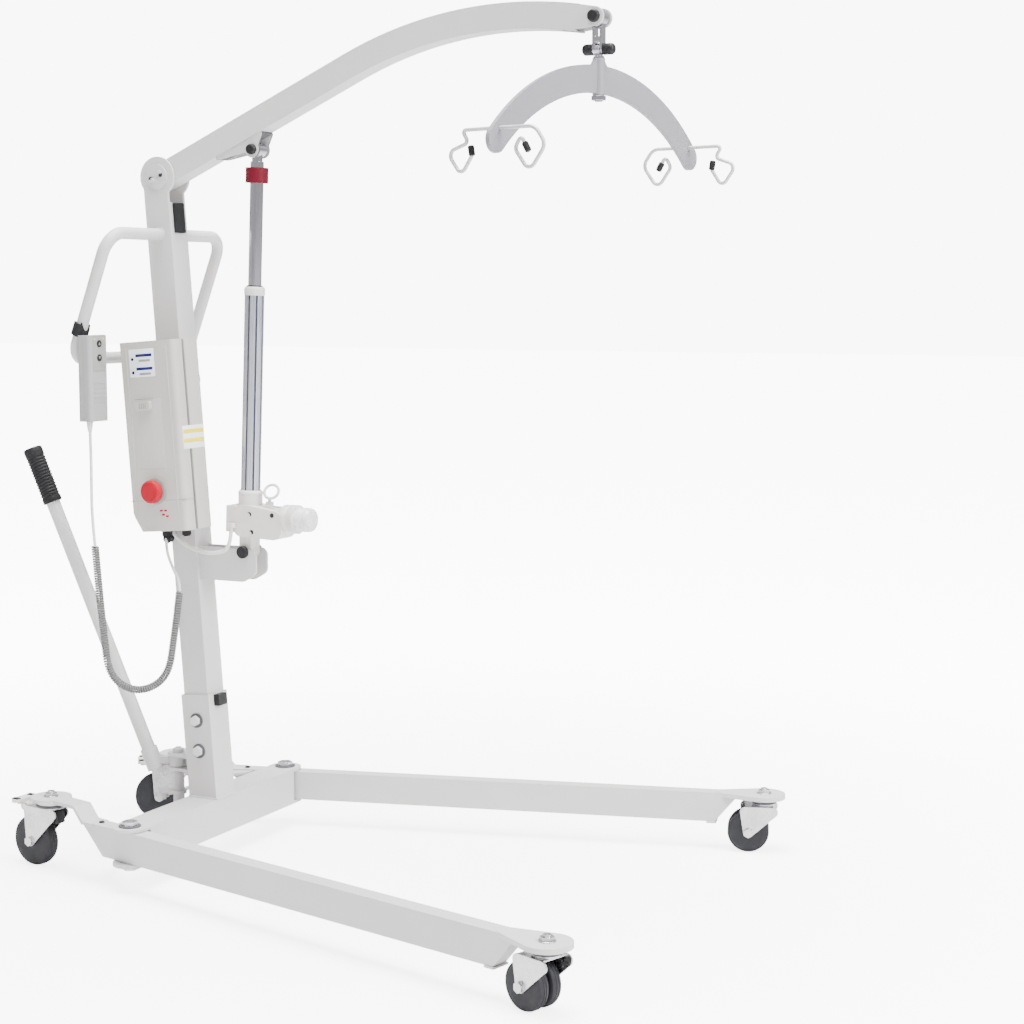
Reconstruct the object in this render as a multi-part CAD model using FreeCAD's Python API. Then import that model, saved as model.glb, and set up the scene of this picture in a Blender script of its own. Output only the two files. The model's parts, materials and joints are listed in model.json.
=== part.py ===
import FreeCAD, Part
import math
import os

# Mobile patient lift with an electric actuator, in millimetres.
# +X points forward along the open legs, +Y to the lift's left, +Z up, and the floor is Z = 0.
# The model is laid out with X = 0 at the leg pivots, and moved at the end by ORIGIN_SHIFT,
# so that the finished part has its origin under the middle of its bounding box.

V = FreeCAD.Vector
UP = V(0, 0, 1)
ORIGIN_SHIFT = V(-286.5, 0, 0)

# ---- driving dimensions ----
PIVOT_Y = 243.0            # leg pivots, each side of the centre plane
SPLAY = 14.15              # leg angle from straight ahead, as stored
LEG_BOTTOM, LEG_TOP = 51.5, 104.5
LEG_WIDTH = 30.0
LEG_WALL = 3.0
FRONT_SWIVEL = 909.0       # along the leg from its pivot
REAR_SWIVEL = -215.0
BEAM_HALF = 30.0
BEAM_BOTTOM, BEAM_TOP = 45.0, 111.0
LUG_THICK = 5.5
PIVOT_BOLT_R = 8.0
RUN_GAP = 0.05             # radial clearance of a pin that turns in its bore
MAST_LEAN = 4.3
MAST_SIZE = 50.0
BOOM_PIVOT = V(-78.0, 0, 1208.0)
BOOM_HALF_DEPTH = 21.0
BOOM_HALF_WIDTH = 19.0
BOOM_WALL = 2.5
BOOM_RISE = 24.11          # slope of the boom's straight part
BOOM_STRAIGHT = 421.2
BOOM_RADIUS = 731.1
BOOM_NOSE = V(751.0, 0, 1435.0)
ROD_EYE = V(115.0, 0, 1250.0)
ACTUATOR_FOOT = V(87.0, 0, 557.0)
CROSS_PIN_Z = 1385.5
SPREADER_YAW = 78.3
HANDLE_TUBE_R = 10.5
LEVER_ANGLE = 15.0         # spreading lever, from straight back, as stored
LEVER_X = -72.0


# ---- small tools ----
def box(x0, x1, y0, y1, z0, z1):
    return Part.makeBox(x1 - x0, y1 - y0, z1 - z0, V(x0, y0, z0))


def rod(start, end, radius):
    """A round bar from one point to another."""
    return Part.makeCylinder(radius, (end - start).Length, start, end - start)


def drilled(shape, start, end, radius):
    return shape.cut(rod(start, end, radius))


def tube(start, end, outer, inner):
    return rod(start, end, outer).cut(rod(start, end, inner))


def fused(*shapes):
    whole = shapes[0]
    for shape in shapes[1:]:
        whole = whole.fuse(shape)
    return whole.removeSplitter()


def group(*shapes):
    return Part.makeCompound(list(shapes))


def prism(corners, along):
    """A flat outline of straight edges, extruded."""
    return Part.Face(Part.makePolygon(corners + [corners[0]])).extrude(along)


def link_plate(a, b, radius_a, radius_b, thickness):
    """A plate around two points of one height, with tangent straight sides."""
    run = b - a
    turn = math.acos((radius_a - radius_b) / run.Length)
    heading = math.atan2(run.y, run.x)
    corners = []
    tangents = ((a, radius_a, 1), (b, radius_b, 1), (b, radius_b, -1), (a, radius_a, -1))
    for centre, radius, sign in tangents:
        angle = heading + sign * turn
        corners.append(centre + V(radius * math.cos(angle), radius * math.sin(angle), 0))
    plate = prism(corners, V(0, 0, thickness))
    for centre, radius in ((a, radius_a), (b, radius_b)):
        plate = plate.fuse(Part.makeCylinder(radius, thickness, centre))
    return plate.removeSplitter()


def ear_plate(points, radius, y0, y1):
    """A plate in the XZ plane with round corners: the hull of circles about its points."""
    plate = prism([V(p.x, y0, p.z) for p in points], V(0, y1 - y0, 0)) if len(points) > 2 else None
    for i, p in enumerate(points):
        q = points[(i + 1) % len(points)]
        side = (q - p).cross(V(0, 1, 0))
        side.normalize()
        side = side * radius
        disc = Part.makeCylinder(radius, y1 - y0, V(p.x, y0, p.z), V(0, 1, 0))
        corners = [V(c.x, y0, c.z) for c in (p + side, q + side, q - side, p - side)]
        strip = prism(corners, V(0, y1 - y0, 0))
        plate = fused(plate, disc, strip) if plate else fused(disc, strip)
    return plate


def bend_radius(before, corner, after, share):
    turn = (corner - before).getAngle(after - corner)
    shorter = min((corner - before).Length, (after - corner).Length)
    return share * shorter / math.tan(turn / 2)


def path_wire(points, radii):
    """Straight runs joined by tangent arcs, one radius for each inner point."""
    edges = []
    here = points[0]
    for i in range(1, len(points) - 1):
        before, corner, after = points[i - 1], points[i], points[i + 1]
        back = (before - corner).normalize()
        ahead = (after - corner).normalize()
        turn = math.pi - back.getAngle(ahead)
        cut = radii[i - 1] * math.tan(turn / 2)
        start, end = corner + back * cut, corner + ahead * cut
        middle = (back + ahead).normalize()
        centre_distance = radii[i - 1] / math.cos(turn / 2)
        crown = corner + middle * (centre_distance - radii[i - 1])
        if (start - here).Length > 1e-6:
            edges.append(Part.LineSegment(here, start).toShape())
        edges.append(Part.Arc(start, crown, end).toShape())
        here = end
    edges.append(Part.LineSegment(here, points[-1]).toShape())
    return Part.Wire(edges)


def swept(points, radii, radius):
    """A round bar or wire along straight runs and arcs."""
    wire = path_wire(points, radii)
    profile = Part.Wire(Part.makeCircle(radius, points[0], points[1] - points[0]))
    return wire.makePipeShell([profile], True, False)


def cord_tube(name, points, radius):
    """A cord's own solid: each arc is as large as its two runs allow."""
    radii = [bend_radius(*points[i - 1:i + 2], 0.45) for i in range(1, len(points) - 1)]
    solid = swept(points, radii, radius)
    length = path_wire(points, radii).Length
    expected = length * math.pi * radius ** 2
    print(f"{name}: length {length:.1f} mm, volume ratio {solid.Volume / expected:.4f}, "
          f"radii {[round(r, 1) for r in radii]}")
    return solid


def leg_frame(side):
    """Places leg parts drawn with +X along the leg and +Y outward; side is 1 on the left."""
    def place(shape):
        shape = shape.copy()
        if side < 0:
            shape = shape.mirror(V(0, 0, 0), V(0, 1, 0))
        shape.rotate(V(0, 0, 0), UP, side * SPLAY)
        shape.translate(V(0, side * PIVOT_Y, 0))
        return shape
    return place


def leg_point(side, along, outward, z):
    angle = math.radians(SPLAY)
    x = along * math.cos(angle) - outward * math.sin(angle)
    y = PIVOT_Y + along * math.sin(angle) + outward * math.cos(angle)
    return V(x, side * y, z)


def on_mast(shape):
    """Leans a part that was drawn upright over the beam's centre."""
    shape = shape.copy()
    shape.rotate(V(0, 0, BEAM_TOP), V(0, 1, 0), -MAST_LEAN)
    return shape


def mast_point(x, y, up):
    """A point given across and up the leaning mast, measured from the beam's top."""
    lean = math.radians(MAST_LEAN)
    forward = x * math.cos(lean) - up * math.sin(lean)
    return V(forward, y, BEAM_TOP + x * math.sin(lean) + up * math.cos(lean))


def hex_head(centre, along, across_flats, height):
    """A hexagon bolt head or nut."""
    corner = across_flats / math.sqrt(3)
    axis = V(along).normalize()
    helper = V(1, 0, 0) if abs(axis.x) < 0.9 else V(0, 1, 0)
    first = axis.cross(helper).normalize()
    second = axis.cross(first)
    ring = []
    for i in range(6):
        angle = math.radians(60 * i)
        spoke = first * math.cos(angle) + second * math.sin(angle)
        ring.append(centre + spoke * corner)
    return prism(ring, axis * height)


# ---- base frame ----
LUG_RADIUS = 30.0
BEAM_WALL = 3.0
END_FRONT_Y, END_REAR_Y = 226.0, 212.0   # the beam's ends are cut parallel to the stored legs


def cross_beam():
    def outline(inset, z0, z1):
        half = BEAM_HALF - inset
        corners = [V(half, -END_FRONT_Y + inset, z0), V(half, END_FRONT_Y - inset, z0),
                   V(-half, END_REAR_Y - inset, z0), V(-half, -END_REAR_Y + inset, z0)]
        return prism(corners, V(0, 0, z1 - z0))

    beam = outline(0, BEAM_BOTTOM, BEAM_TOP)
    beam = beam.cut(outline(BEAM_WALL, BEAM_BOTTOM + LUG_THICK, BEAM_TOP - LUG_THICK))
    for side in (1, -1):
        for z in (BEAM_BOTTOM, BEAM_TOP - LUG_THICK):
            root = V(0, side * (END_REAR_Y - LUG_RADIUS), z)
            lug = link_plate(root, V(0, side * PIVOT_Y, z), LUG_RADIUS - 0.5, LUG_RADIUS, LUG_THICK)
            beam = beam.fuse(lug)
        beam = drilled(beam, V(0, side * PIVOT_Y, 0), V(0, side * PIVOT_Y, 200), PIVOT_BOLT_R)
    crank = V(LEVER_X, 0, 0)
    return beam.removeSplitter().cut(rod(crank, crank + V(0, 0, 200), CRANK_HUB_R + 4))


SOCKET_HALF = 29.0
SOCKET_HEIGHT = 186.0
SOCKET_BOLT_UP = (85.0, 140.0)   # side bolts, up the mast from the beam
KNOB_UP = 174.0
BRACKET_TOP_Z, BRACKET_LOW_Z = 176.0, 151.0
BRACKET_THICK = 5.0
CRANK_R = 10.0
CRANK_HUB_R = 14.0


def mast_socket():
    """The square sleeve welded to the beam, with the two plates that carry the lever's shaft."""
    up = BEAM_TOP + SOCKET_HEIGHT
    sleeve = box(-SOCKET_HALF, SOCKET_HALF, -SOCKET_HALF, SOCKET_HALF, BEAM_TOP - 5, up)
    sleeve = on_mast(sleeve).common(box(-200, 200, -200, 200, BEAM_TOP, 400))
    hollow = MAST_SIZE / 2 + 0.2
    sleeve = sleeve.cut(on_mast(box(-hollow, hollow, -hollow, hollow, BEAM_TOP + 6, up + 1)))
    for z in (BRACKET_TOP_Z, BRACKET_LOW_Z):
        root = V(-20, 0, z)
        plate = link_plate(root, V(LEVER_X, 0, z), 22.0, 19.0, BRACKET_THICK)
        sleeve = sleeve.fuse(plate.cut(on_mast(box(-27, 27, -27, 27, BEAM_TOP, up))))
    sleeve = drilled(sleeve, V(LEVER_X, 0, 100), V(LEVER_X, 0, 250), CRANK_R + RUN_GAP)
    for height in SOCKET_BOLT_UP:
        sleeve = drilled(sleeve, mast_point(0, -60, height), mast_point(0, 60, height), 5.0)
    sleeve = drilled(sleeve, mast_point(20, 0, KNOB_UP), mast_point(60, 0, KNOB_UP), 5.0)
    return sleeve.removeSplitter()


def frame_bolts():
    """Leg pivot bolts with nuts and washers, and the two bolts through the mast's socket."""
    pieces = []
    for side in (1, -1):
        def at(z):
            return V(0, side * PIVOT_Y, z)
        shank = fused(rod(at(36), at(BEAM_TOP), PIVOT_BOLT_R), hex_head(at(BEAM_TOP), UP, 24, 9))
        pieces.append(shank)
        nut = hex_head(at(BEAM_BOTTOM - 8), UP, 24, 8)
        pieces.append(drilled(nut, at(0), at(60), PIVOT_BOLT_R))
        for z in (BEAM_BOTTOM + LUG_THICK, LEG_TOP + RUN_GAP):
            pieces.append(tube(at(z), at(z + 0.9), 18.0, PIVOT_BOLT_R))
    for height in SOCKET_BOLT_UP:
        left, right = mast_point(0, 36, height), mast_point(0, -36, height)
        across = right - left
        shank = rod(left, right, 5.0)
        face = mast_point(0, -SOCKET_HALF, height)
        seat = mast_point(0, -SOCKET_HALF - 2, height)
        washer = tube(face, seat, 12.0, 5.0)
        nut = hex_head(mast_point(0, SOCKET_HALF, height), V(0, 1, 0), 17, 8)
        head = hex_head(seat, across, 16, 7)
        pieces.append(fused(shank, head, nut))
        pieces.append(washer)
    return group(*pieces)


def socket_knob():
    """The clamping screw at the socket's top: a square plastic grip on a threaded stem."""
    z = BEAM_TOP + KNOB_UP
    grip = box(SOCKET_HALF, SOCKET_HALF + 11, -13, 13, z - 10, z + 10)
    stem = rod(V(MAST_SIZE / 2, 0, z), V(SOCKET_HALF, 0, z), 5.0)
    return on_mast(fused(grip, stem))


# ---- legs ----
TONGUE_BOTTOM, TONGUE_TOP = 97.0, 105.0
TONGUE_RADIUS = 38.0
GOOSENECK_BOTTOM, GOOSENECK_TOP = 122.0, 128.0
GOOSENECK_RADIUS = 36.0
NECK_HALF = 18.0
FRONT_STEM_R, REAR_STEM_R = 6.0, 6.0
LUG_BACK, LUG_IN = 105.0, 45.0        # the tie rod's pin, behind the pivot and inside the leg
TIE_PIN_R = 5.0
LEFT_TIE_Z, RIGHT_TIE_Z = 100.0, 66.0


def leg(side):
    half = LEG_WIDTH / 2
    outer = [V(-56, -half, LEG_BOTTOM), V(821, -half, LEG_BOTTOM),
             V(866, -half, LEG_TOP), V(-113, -half, LEG_TOP)]
    inner_bottom, inner_top = LEG_BOTTOM + LEG_WALL, LEG_TOP - LEG_WALL
    inset = half - LEG_WALL
    inner = [V(-55, -inset, inner_bottom), V(819, -inset, inner_bottom),
             V(859, -inset, inner_top), V(-105, -inset, inner_top)]
    body = prism(outer, V(0, LEG_WIDTH, 0)).cut(prism(inner, V(0, 2 * inset, 0)))
    lip = box(806, 824, -half - 2, half + 2, LEG_BOTTOM - 3, LEG_BOTTOM)
    front_end, rear_end = V(FRONT_SWIVEL, 0, TONGUE_BOTTOM), V(REAR_SWIVEL, 0, GOOSENECK_BOTTOM)
    tongue_root = V(835, 0, TONGUE_BOTTOM)
    tongue = link_plate(tongue_root, front_end, half, TONGUE_RADIUS, TONGUE_TOP - TONGUE_BOTTOM)
    tongue = tongue.cut(box(700, 856, -inset, inset, LEG_BOTTOM, inner_top))
    low, high = LEG_TOP - 5.5, LEG_TOP
    neck_profile = [(-80, low), (-109, low), (-131, GOOSENECK_BOTTOM), (REAR_SWIVEL, GOOSENECK_BOTTOM),
                    (REAR_SWIVEL, GOOSENECK_TOP), (-128, GOOSENECK_TOP), (-106, high), (-80, high)]
    neck = prism([V(x, -NECK_HALF, z) for x, z in neck_profile], V(0, 2 * NECK_HALF, 0))
    neck = neck.cut(box(-100, 0, -inset, inset, 0, inner_top)).cut(box(-100, 0, -60, 60, 0, LEG_TOP - 6))
    rear_disc = Part.makeCylinder(GOOSENECK_RADIUS, GOOSENECK_TOP - GOOSENECK_BOTTOM, rear_end)
    bush = rod(V(0, 0, LEG_BOTTOM), V(0, 0, LEG_TOP), 13.0)
    body = fused(body, lip, tongue, neck, rear_disc, bush)
    body = drilled(body, V(0, 0, 0), V(0, 0, 200), PIVOT_BOLT_R + RUN_GAP)
    body = drilled(body, front_end, front_end + V(0, 0, 20), FRONT_STEM_R)
    body = drilled(body, rear_end, rear_end + V(0, 0, 20), REAR_STEM_R)
    tie_z = LEFT_TIE_Z if side > 0 else RIGHT_TIE_Z
    lug_z = tie_z - 2.5
    pin = V(-LUG_BACK, -LUG_IN, lug_z)
    root = V(-72, -half, lug_z) if side > 0 else V(-56, -half, lug_z)
    lug = link_plate(root, pin, 12.0, 11.0, 5.0).cut(box(-200, 100, -inset, 60, 0, 200))
    body = body.fuse(lug)
    stub = rod(pin + V(0, 0, -9.5), pin + V(0, 0, 5), TIE_PIN_R)
    body = body.fuse(stub).removeSplitter()
    return leg_frame(side)(body)


def castor_stems(side):
    """The threaded stems and nuts that hold a leg's two castors."""
    pieces = []
    for along, low, seat, radius in ((FRONT_SWIVEL, 84.0, TONGUE_TOP, FRONT_STEM_R),
                                     (REAR_SWIVEL, 108.0, GOOSENECK_TOP, REAR_STEM_R)):
        stem = rod(V(along, 0, low), V(along, 0, seat + 10), radius)
        nut = hex_head(V(along, 0, seat), UP, 19, 7)
        pieces.append(fused(stem, nut))
    return leg_frame(side)(group(*pieces))


# ---- castors ----
FRONT_WHEEL_R, REAR_WHEEL_R = 37.5, 45.0
FRONT_TRAIL, REAR_TRAIL = 28.0, 38.0
FRONT_TREAD, REAR_TREAD = 20.0, 22.0
TWIN_GAP = 5.0
AXLE_R = 5.0
FORK_THICK = 2.5
REAR_CLEARANCE = 3.0
PEDAL_PIVOT_X, PEDAL_PIVOT_Z = -52.0, 106.0
PEDAL_PLATE_X = -67.0
PEDAL_PIN_R = 3.0
# rolling direction of each castor, from straight ahead, as stored
CASTOR_TURN = {"front_right": -20.5, "front_left": 19.0, "rear_right": -6.0, "rear_left": 36.0}


def swivel_point(name):
    side = 1 if name.endswith("left") else -1
    along = FRONT_SWIVEL if name.startswith("front") else REAR_SWIVEL
    return leg_point(side, along, 0, 0)


def castor_frame(name):
    """Places castor parts drawn with the swivel axis at the origin and the wheel behind it."""
    def place(shape):
        shape = shape.copy()
        shape.rotate(V(0, 0, 0), UP, CASTOR_TURN[name])
        shape.translate(swivel_point(name))
        return shape
    return place


def wheel(radius, width, y0):
    """A tyre on its hub, as two solids, with the hub's bore running on the axle."""
    rim = radius * 0.74
    y1 = y0 + width
    tyre = tube(V(0, y0, 0), V(0, y1, 0), radius, rim)
    rims = [e for e in tyre.Edges if e.BoundBox.YLength < 0.1 and e.BoundBox.XLength > 2 * radius - 0.1]
    tyre = tyre.makeFillet(width * 0.24, rims)
    hub = tube(V(0, y0 + 1, 0), V(0, y1 - 1, 0), rim, rim - 4)
    web = tube(V(0, y0 + width / 2 - 3, 0), V(0, y0 + width / 2 + 3, 0), rim - 3, AXLE_R + 2)
    boss = tube(V(0, y0 + 0.2, 0), V(0, y1 - 0.2, 0), 11.0, AXLE_R + RUN_GAP)
    centre = drilled(fused(hub, web, boss), V(0, y0 - 1, 0), V(0, y1 + 1, 0), AXLE_R + RUN_GAP)
    return group(tyre, centre)


def front_wheel(name, outer):
    sign = 1 if outer else -1
    half_gap = TWIN_GAP / 2
    y0 = half_gap if sign > 0 else -half_gap - FRONT_TREAD
    shape = wheel(FRONT_WHEEL_R, FRONT_TREAD, y0)
    shape.translate(V(-FRONT_TRAIL, 0, FRONT_WHEEL_R))
    return castor_frame(name)(shape)


def rear_wheel(name):
    shape = wheel(REAR_WHEEL_R, REAR_TREAD, -REAR_TREAD / 2)
    shape.translate(V(-REAR_TRAIL, 0, REAR_WHEEL_R))
    return castor_frame(name)(shape)


def axle_bolt(x, z, half_width):
    shank = rod(V(x, -half_width, z), V(x, half_width, z), AXLE_R)
    ends = [hex_head(V(x, sign * half_width, z), V(0, sign, 0), 15, 5) for sign in (1, -1)]
    return fused(shank, *ends)


def fork(trail, axle_z, top_z, cheek_y, nose, tail, head_r, head_top, stem_r):
    """A pressed fork: two tapering cheeks under a crown plate, and the swivel head on top."""
    pieces = []
    for sign in (1, -1):
        y0 = sign * cheek_y if sign > 0 else -cheek_y - FORK_THICK
        corners = [V(nose, 0, top_z - 9), V(-tail, 0, top_z - 9), V(-trail, 0, axle_z)]
        pieces.append(ear_plate(corners, 9.0, y0, y0 + FORK_THICK))
    crown = box(-tail, nose, -cheek_y - FORK_THICK, cheek_y + FORK_THICK, top_z - FORK_THICK, top_z)
    head = rod(V(0, 0, top_z), V(0, 0, head_top), head_r)
    solid = fused(crown, head, *pieces)
    solid = drilled(solid, V(0, 0, top_z - 20), V(0, 0, head_top + 5), stem_r + RUN_GAP)
    return drilled(solid, V(-trail, -80, axle_z), V(-trail, 80, axle_z), AXLE_R)


def front_fork(name):
    cheek = TWIN_GAP / 2 + FRONT_TREAD + 1.5
    shape = fork(FRONT_TRAIL, FRONT_WHEEL_R, 85.0, cheek, 16.0, 34.0, 20.0,
                 TONGUE_BOTTOM - 0.5, FRONT_STEM_R)
    axle = axle_bolt(-FRONT_TRAIL, FRONT_WHEEL_R, cheek + FORK_THICK)
    return castor_frame(name)(group(shape, axle))


def rear_fork(name):
    cheek = REAR_TREAD / 2 + REAR_CLEARANCE
    shape = fork(REAR_TRAIL, REAR_WHEEL_R, 108.0, cheek, 16.0, 42.0, 24.0,
                 GOOSENECK_BOTTOM - 0.5, REAR_STEM_R)
    pivot = V(PEDAL_PIVOT_X, 0, PEDAL_PIVOT_Z)
    for sign in (1, -1):
        y0 = cheek if sign > 0 else -cheek - FORK_THICK
        ear = ear_plate([pivot, pivot + V(14, 0, -6)], 6.0, y0, y0 + FORK_THICK)
        shape = shape.fuse(ear)
    shape = drilled(shape, pivot + V(0, -60, 0), pivot + V(0, 60, 0), PEDAL_PIN_R)
    pin = rod(pivot + V(0, -cheek - FORK_THICK, 0), pivot + V(0, cheek + FORK_THICK, 0), PEDAL_PIN_R)
    axle = axle_bolt(-REAR_TRAIL, REAR_WHEEL_R, cheek + FORK_THICK)
    return castor_frame(name)(group(shape.removeSplitter(), pin, axle))


def brake_pedal(name):
    """The wheel brake: a foot plate, its arm and the shoe that presses on the tread."""
    half = REAR_TREAD / 2 + 1.0
    pivot = V(PEDAL_PIVOT_X, 0, PEDAL_PIVOT_Z)
    boss = rod(pivot + V(0, -half, 0), pivot + V(0, half, 0), 6.0)
    arm = box(PEDAL_PLATE_X - 5, PEDAL_PIVOT_X - 2, -half, half, PEDAL_PIVOT_Z + 1, PEDAL_PIVOT_Z + 6)
    plate_z = PEDAL_PIVOT_Z + 6
    plate = link_plate(V(PEDAL_PLATE_X, -15, plate_z), V(PEDAL_PLATE_X, 15, plate_z), 10.0, 10.001, 6.0)
    shoe = box(PEDAL_PIVOT_X - 6, PEDAL_PIVOT_X + 2, -half + 3, half - 3,
               PEDAL_PIVOT_Z - 12, PEDAL_PIVOT_Z - 3)
    solid = fused(boss, arm, plate, shoe)
    solid = drilled(solid, pivot + V(0, -40, 0), pivot + V(0, 40, 0), PEDAL_PIN_R + RUN_GAP)
    return castor_frame(name)(solid)


# ---- spreading lever and tie rods ----
CRANK_THROW = 30.0
LEVER_TUBE_R = 12.5
LEVER_FOOT = V(-115, -12, 155)
LEVER_TOP = V(-331, -69, 729)
GRIP_LENGTH = 105.0


def crank_pin(side, z):
    """Centre of a crank pin: the rear one drives the left leg, the front one the right leg."""
    angle = math.radians(180 + LEVER_ANGLE) if side > 0 else math.radians(LEVER_ANGLE)
    return V(LEVER_X + CRANK_THROW * math.cos(angle), CRANK_THROW * math.sin(angle), z)


def crank_shaft():
    axis = V(LEVER_X, 0, 0)
    solid = rod(axis + V(0, 0, 56), axis + V(0, 0, BRACKET_TOP_Z + 12), CRANK_R)
    for side, z in ((1, LEFT_TIE_Z), (-1, RIGHT_TIE_Z)):
        pin = crank_pin(side, z + 6)
        arm = link_plate(axis + V(0, 0, z + 6), pin, CRANK_HUB_R, 10.0, 6.0)
        solid = solid.fuse(arm).fuse(rod(pin + V(0, 0, -13), pin + V(0, 0, 6), TIE_PIN_R))
    collar_low, collar_top = BRACKET_LOW_Z + BRACKET_THICK + 0.5, BRACKET_TOP_Z - 0.5
    collar = rod(axis + V(0, 0, collar_low), axis + V(0, 0, collar_top), CRANK_HUB_R + 2)
    middle = (collar_low + collar_top) / 2
    neck = ear_bar(axis + V(0, 0, middle), V(LEVER_FOOT.x, LEVER_FOOT.y, middle), 6.0)
    up = (LEVER_TOP - LEVER_FOOT).normalize()
    socket = rod(LEVER_FOOT - up * 6, LEVER_FOOT + up * 34, LEVER_TUBE_R + 3)
    solid = solid.fuse(collar).fuse(neck).fuse(socket)
    return solid.cut(rod(LEVER_FOOT, LEVER_TOP, LEVER_TUBE_R)).removeSplitter()


def ear_bar(a, b, half_height):
    """A flat bar on edge between two points of one height, 12 mm wide."""
    run = (b - a).normalize()
    side = run.cross(UP) * 6.0
    corners = [a + side, b + side, b - side, a - side]
    return prism([c - V(0, 0, half_height) for c in corners], V(0, 0, 2 * half_height))


def lever_tube():
    up = (LEVER_TOP - LEVER_FOOT).normalize()
    return tube(LEVER_FOOT, LEVER_TOP - up * 4, LEVER_TUBE_R, LEVER_TUBE_R - 2)


def lever_grip():
    up = (LEVER_TOP - LEVER_FOOT).normalize()
    start = LEVER_TOP - up * GRIP_LENGTH
    outer = rod(start, LEVER_TOP, 17.0)
    outer = outer.makeFillet(5.0, [e for e in outer.Edges if e.Closed])
    return outer.cut(rod(start - up, LEVER_TOP - up * 4, LEVER_TUBE_R))


LEFT_EYE_OPEN, RIGHT_EYE_OPEN = 9.0, 12.5    # the eyes at the legs are wide: these pivots are left open


def tie_rod(side):
    z = LEFT_TIE_Z if side > 0 else RIGHT_TIE_Z
    opening = LEFT_EYE_OPEN if side > 0 else RIGHT_EYE_OPEN
    inner = crank_pin(side, z + 1.5)
    outer = leg_point(side, -LUG_BACK, -LUG_IN, z - 7.5)
    run = (outer - inner).normalize()
    eye_in = rod(inner + V(0, 0, -4), inner + V(0, 0, 4), 10.0)
    eye_out = rod(outer + V(0, 0, -3.5), outer + V(0, 0, 3.5), opening + 4)
    bar = rod(inner + run * 6, outer - run * (opening + 1), 3.9)
    solid = fused(eye_in, bar, eye_out)
    solid = drilled(solid, inner + V(0, 0, -20), inner + V(0, 0, 20), TIE_PIN_R + RUN_GAP)
    return drilled(solid, outer + V(0, 0, -20), outer + V(0, 0, 20), opening)


# ---- mast ----
CHEEK_INNER, CHEEK_OUTER = 20.0, 25.0
CHEEK_RADIUS = 35.0
POST_END = 46.0           # the post ends this far below the boom pivot
BOOM_PIN_R = 8.0
HANDLE_HALF_Y = 168.0
HANDLE_TOP_UP = 1000.0    # up the mast from the beam
HANDLE_DROP = 230.0
HANDLE_TILT = 20.9


def mast_length():
    """Along the leaning mast, from the beam to the boom pivot."""
    return (BOOM_PIVOT.z - BEAM_TOP) / math.cos(math.radians(MAST_LEAN))


def mast_tube():
    pivot = BOOM_PIVOT
    top = BEAM_TOP + mast_length()
    half = MAST_SIZE / 2
    post = on_mast(box(-half, half, -half, half, BEAM_TOP + 6.5, top - POST_END))
    post = post.cut(on_mast(box(-half + 3, half - 3, -half + 3, half - 3, BEAM_TOP, top - POST_END - 3)))
    for sign in (1, -1):
        y0, y1 = sorted((sign * CHEEK_INNER, sign * CHEEK_OUTER))
        disc = Part.makeCylinder(CHEEK_RADIUS, y1 - y0, V(pivot.x, y0, pivot.z), V(0, 1, 0))
        strap = on_mast(box(-half, half, y0, y1, top - POST_END - 15, top))
        post = post.fuse(disc).fuse(strap)
    post = drilled(post, pivot + V(0, -60, 0), pivot + V(0, 60, 0), BOOM_PIN_R)
    for height in SOCKET_BOLT_UP:
        post = drilled(post, mast_point(0, -60, height), mast_point(0, 60, height), 5.0)
    bar_at = mast_point(0, 0, HANDLE_TOP_UP)
    post = drilled(post, bar_at + V(0, -60, 0), bar_at + V(0, 60, 0), HANDLE_TUBE_R)
    return post.removeSplitter()


def boom_pivot_pin():
    """The boom's pin, with a washer and a screwed cap on each side."""
    at = BOOM_PIVOT
    pin = rod(at + V(0, -CHEEK_OUTER, 0), at + V(0, CHEEK_OUTER, 0), BOOM_PIN_R)
    for sign in (1, -1):
        face = at + V(0, sign * CHEEK_OUTER, 0)
        pin = pin.fuse(rod(face, face + V(0, sign * 3, 0), 22.0))
        for angle in (40, 220):
            offset = V(10 * math.cos(math.radians(angle)), 0, 10 * math.sin(math.radians(angle)))
            pin = pin.fuse(rod(face + offset, face + offset + V(0, sign * 6, 0), 4.5))
    return pin.removeSplitter()


def mast_bumper():
    """The rubber strip on the mast's front, which the lowered boom rests against."""
    top = BEAM_TOP + mast_length() - POST_END - 1
    return on_mast(box(MAST_SIZE / 2, MAST_SIZE / 2 + 5, -14, 14, top - 52, top))


def push_handle():
    """A closed loop of round tube: its top bar passes through the mast."""
    top = mast_point(0, 0, HANDLE_TOP_UP)
    tilt = math.radians(HANDLE_TILT)
    low = top - V(math.sin(tilt), 0, math.cos(tilt)) * HANDLE_DROP
    side = V(0, HANDLE_HALF_Y, 0)
    corners = [top, top - side, low - side, low + side, top + side, top]
    return swept(corners, [38.0, 32.0, 32.0, 38.0], HANDLE_TUBE_R)


ACTUATOR_BRACKET_GAP = 15.5
ACTUATOR_BRACKET_THICK = 4.0


def actuator_bracket():
    """Two cheeks on the mast's front; the actuator's foot stands between them."""
    foot = ACTUATOR_FOOT
    corners = [V(-30, 0, 548), V(foot.x + 12, 0, 548), V(foot.x + 12, 0, 527),
               V(foot.x - 4, 0, 518), V(-30, 0, 518)]
    cheeks = []
    for sign in (1, -1):
        inner, outer = ACTUATOR_BRACKET_GAP, ACTUATOR_BRACKET_GAP + ACTUATOR_BRACKET_THICK
        y0, y1 = sorted((sign * inner, sign * outer))
        cheeks.append(ear_plate(corners, 14.0, y0, y1))
    web = box(-20, 40, -ACTUATOR_BRACKET_GAP, ACTUATOR_BRACKET_GAP, 504, 509)
    solid = fused(web, *cheeks).cut(on_mast(box(-60, MAST_SIZE / 2, -60, 60, BEAM_TOP, BEAM_TOP + 700)))
    return drilled(solid, foot + V(0, -60, 0), foot + V(0, 60, 0), 6.0)


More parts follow.
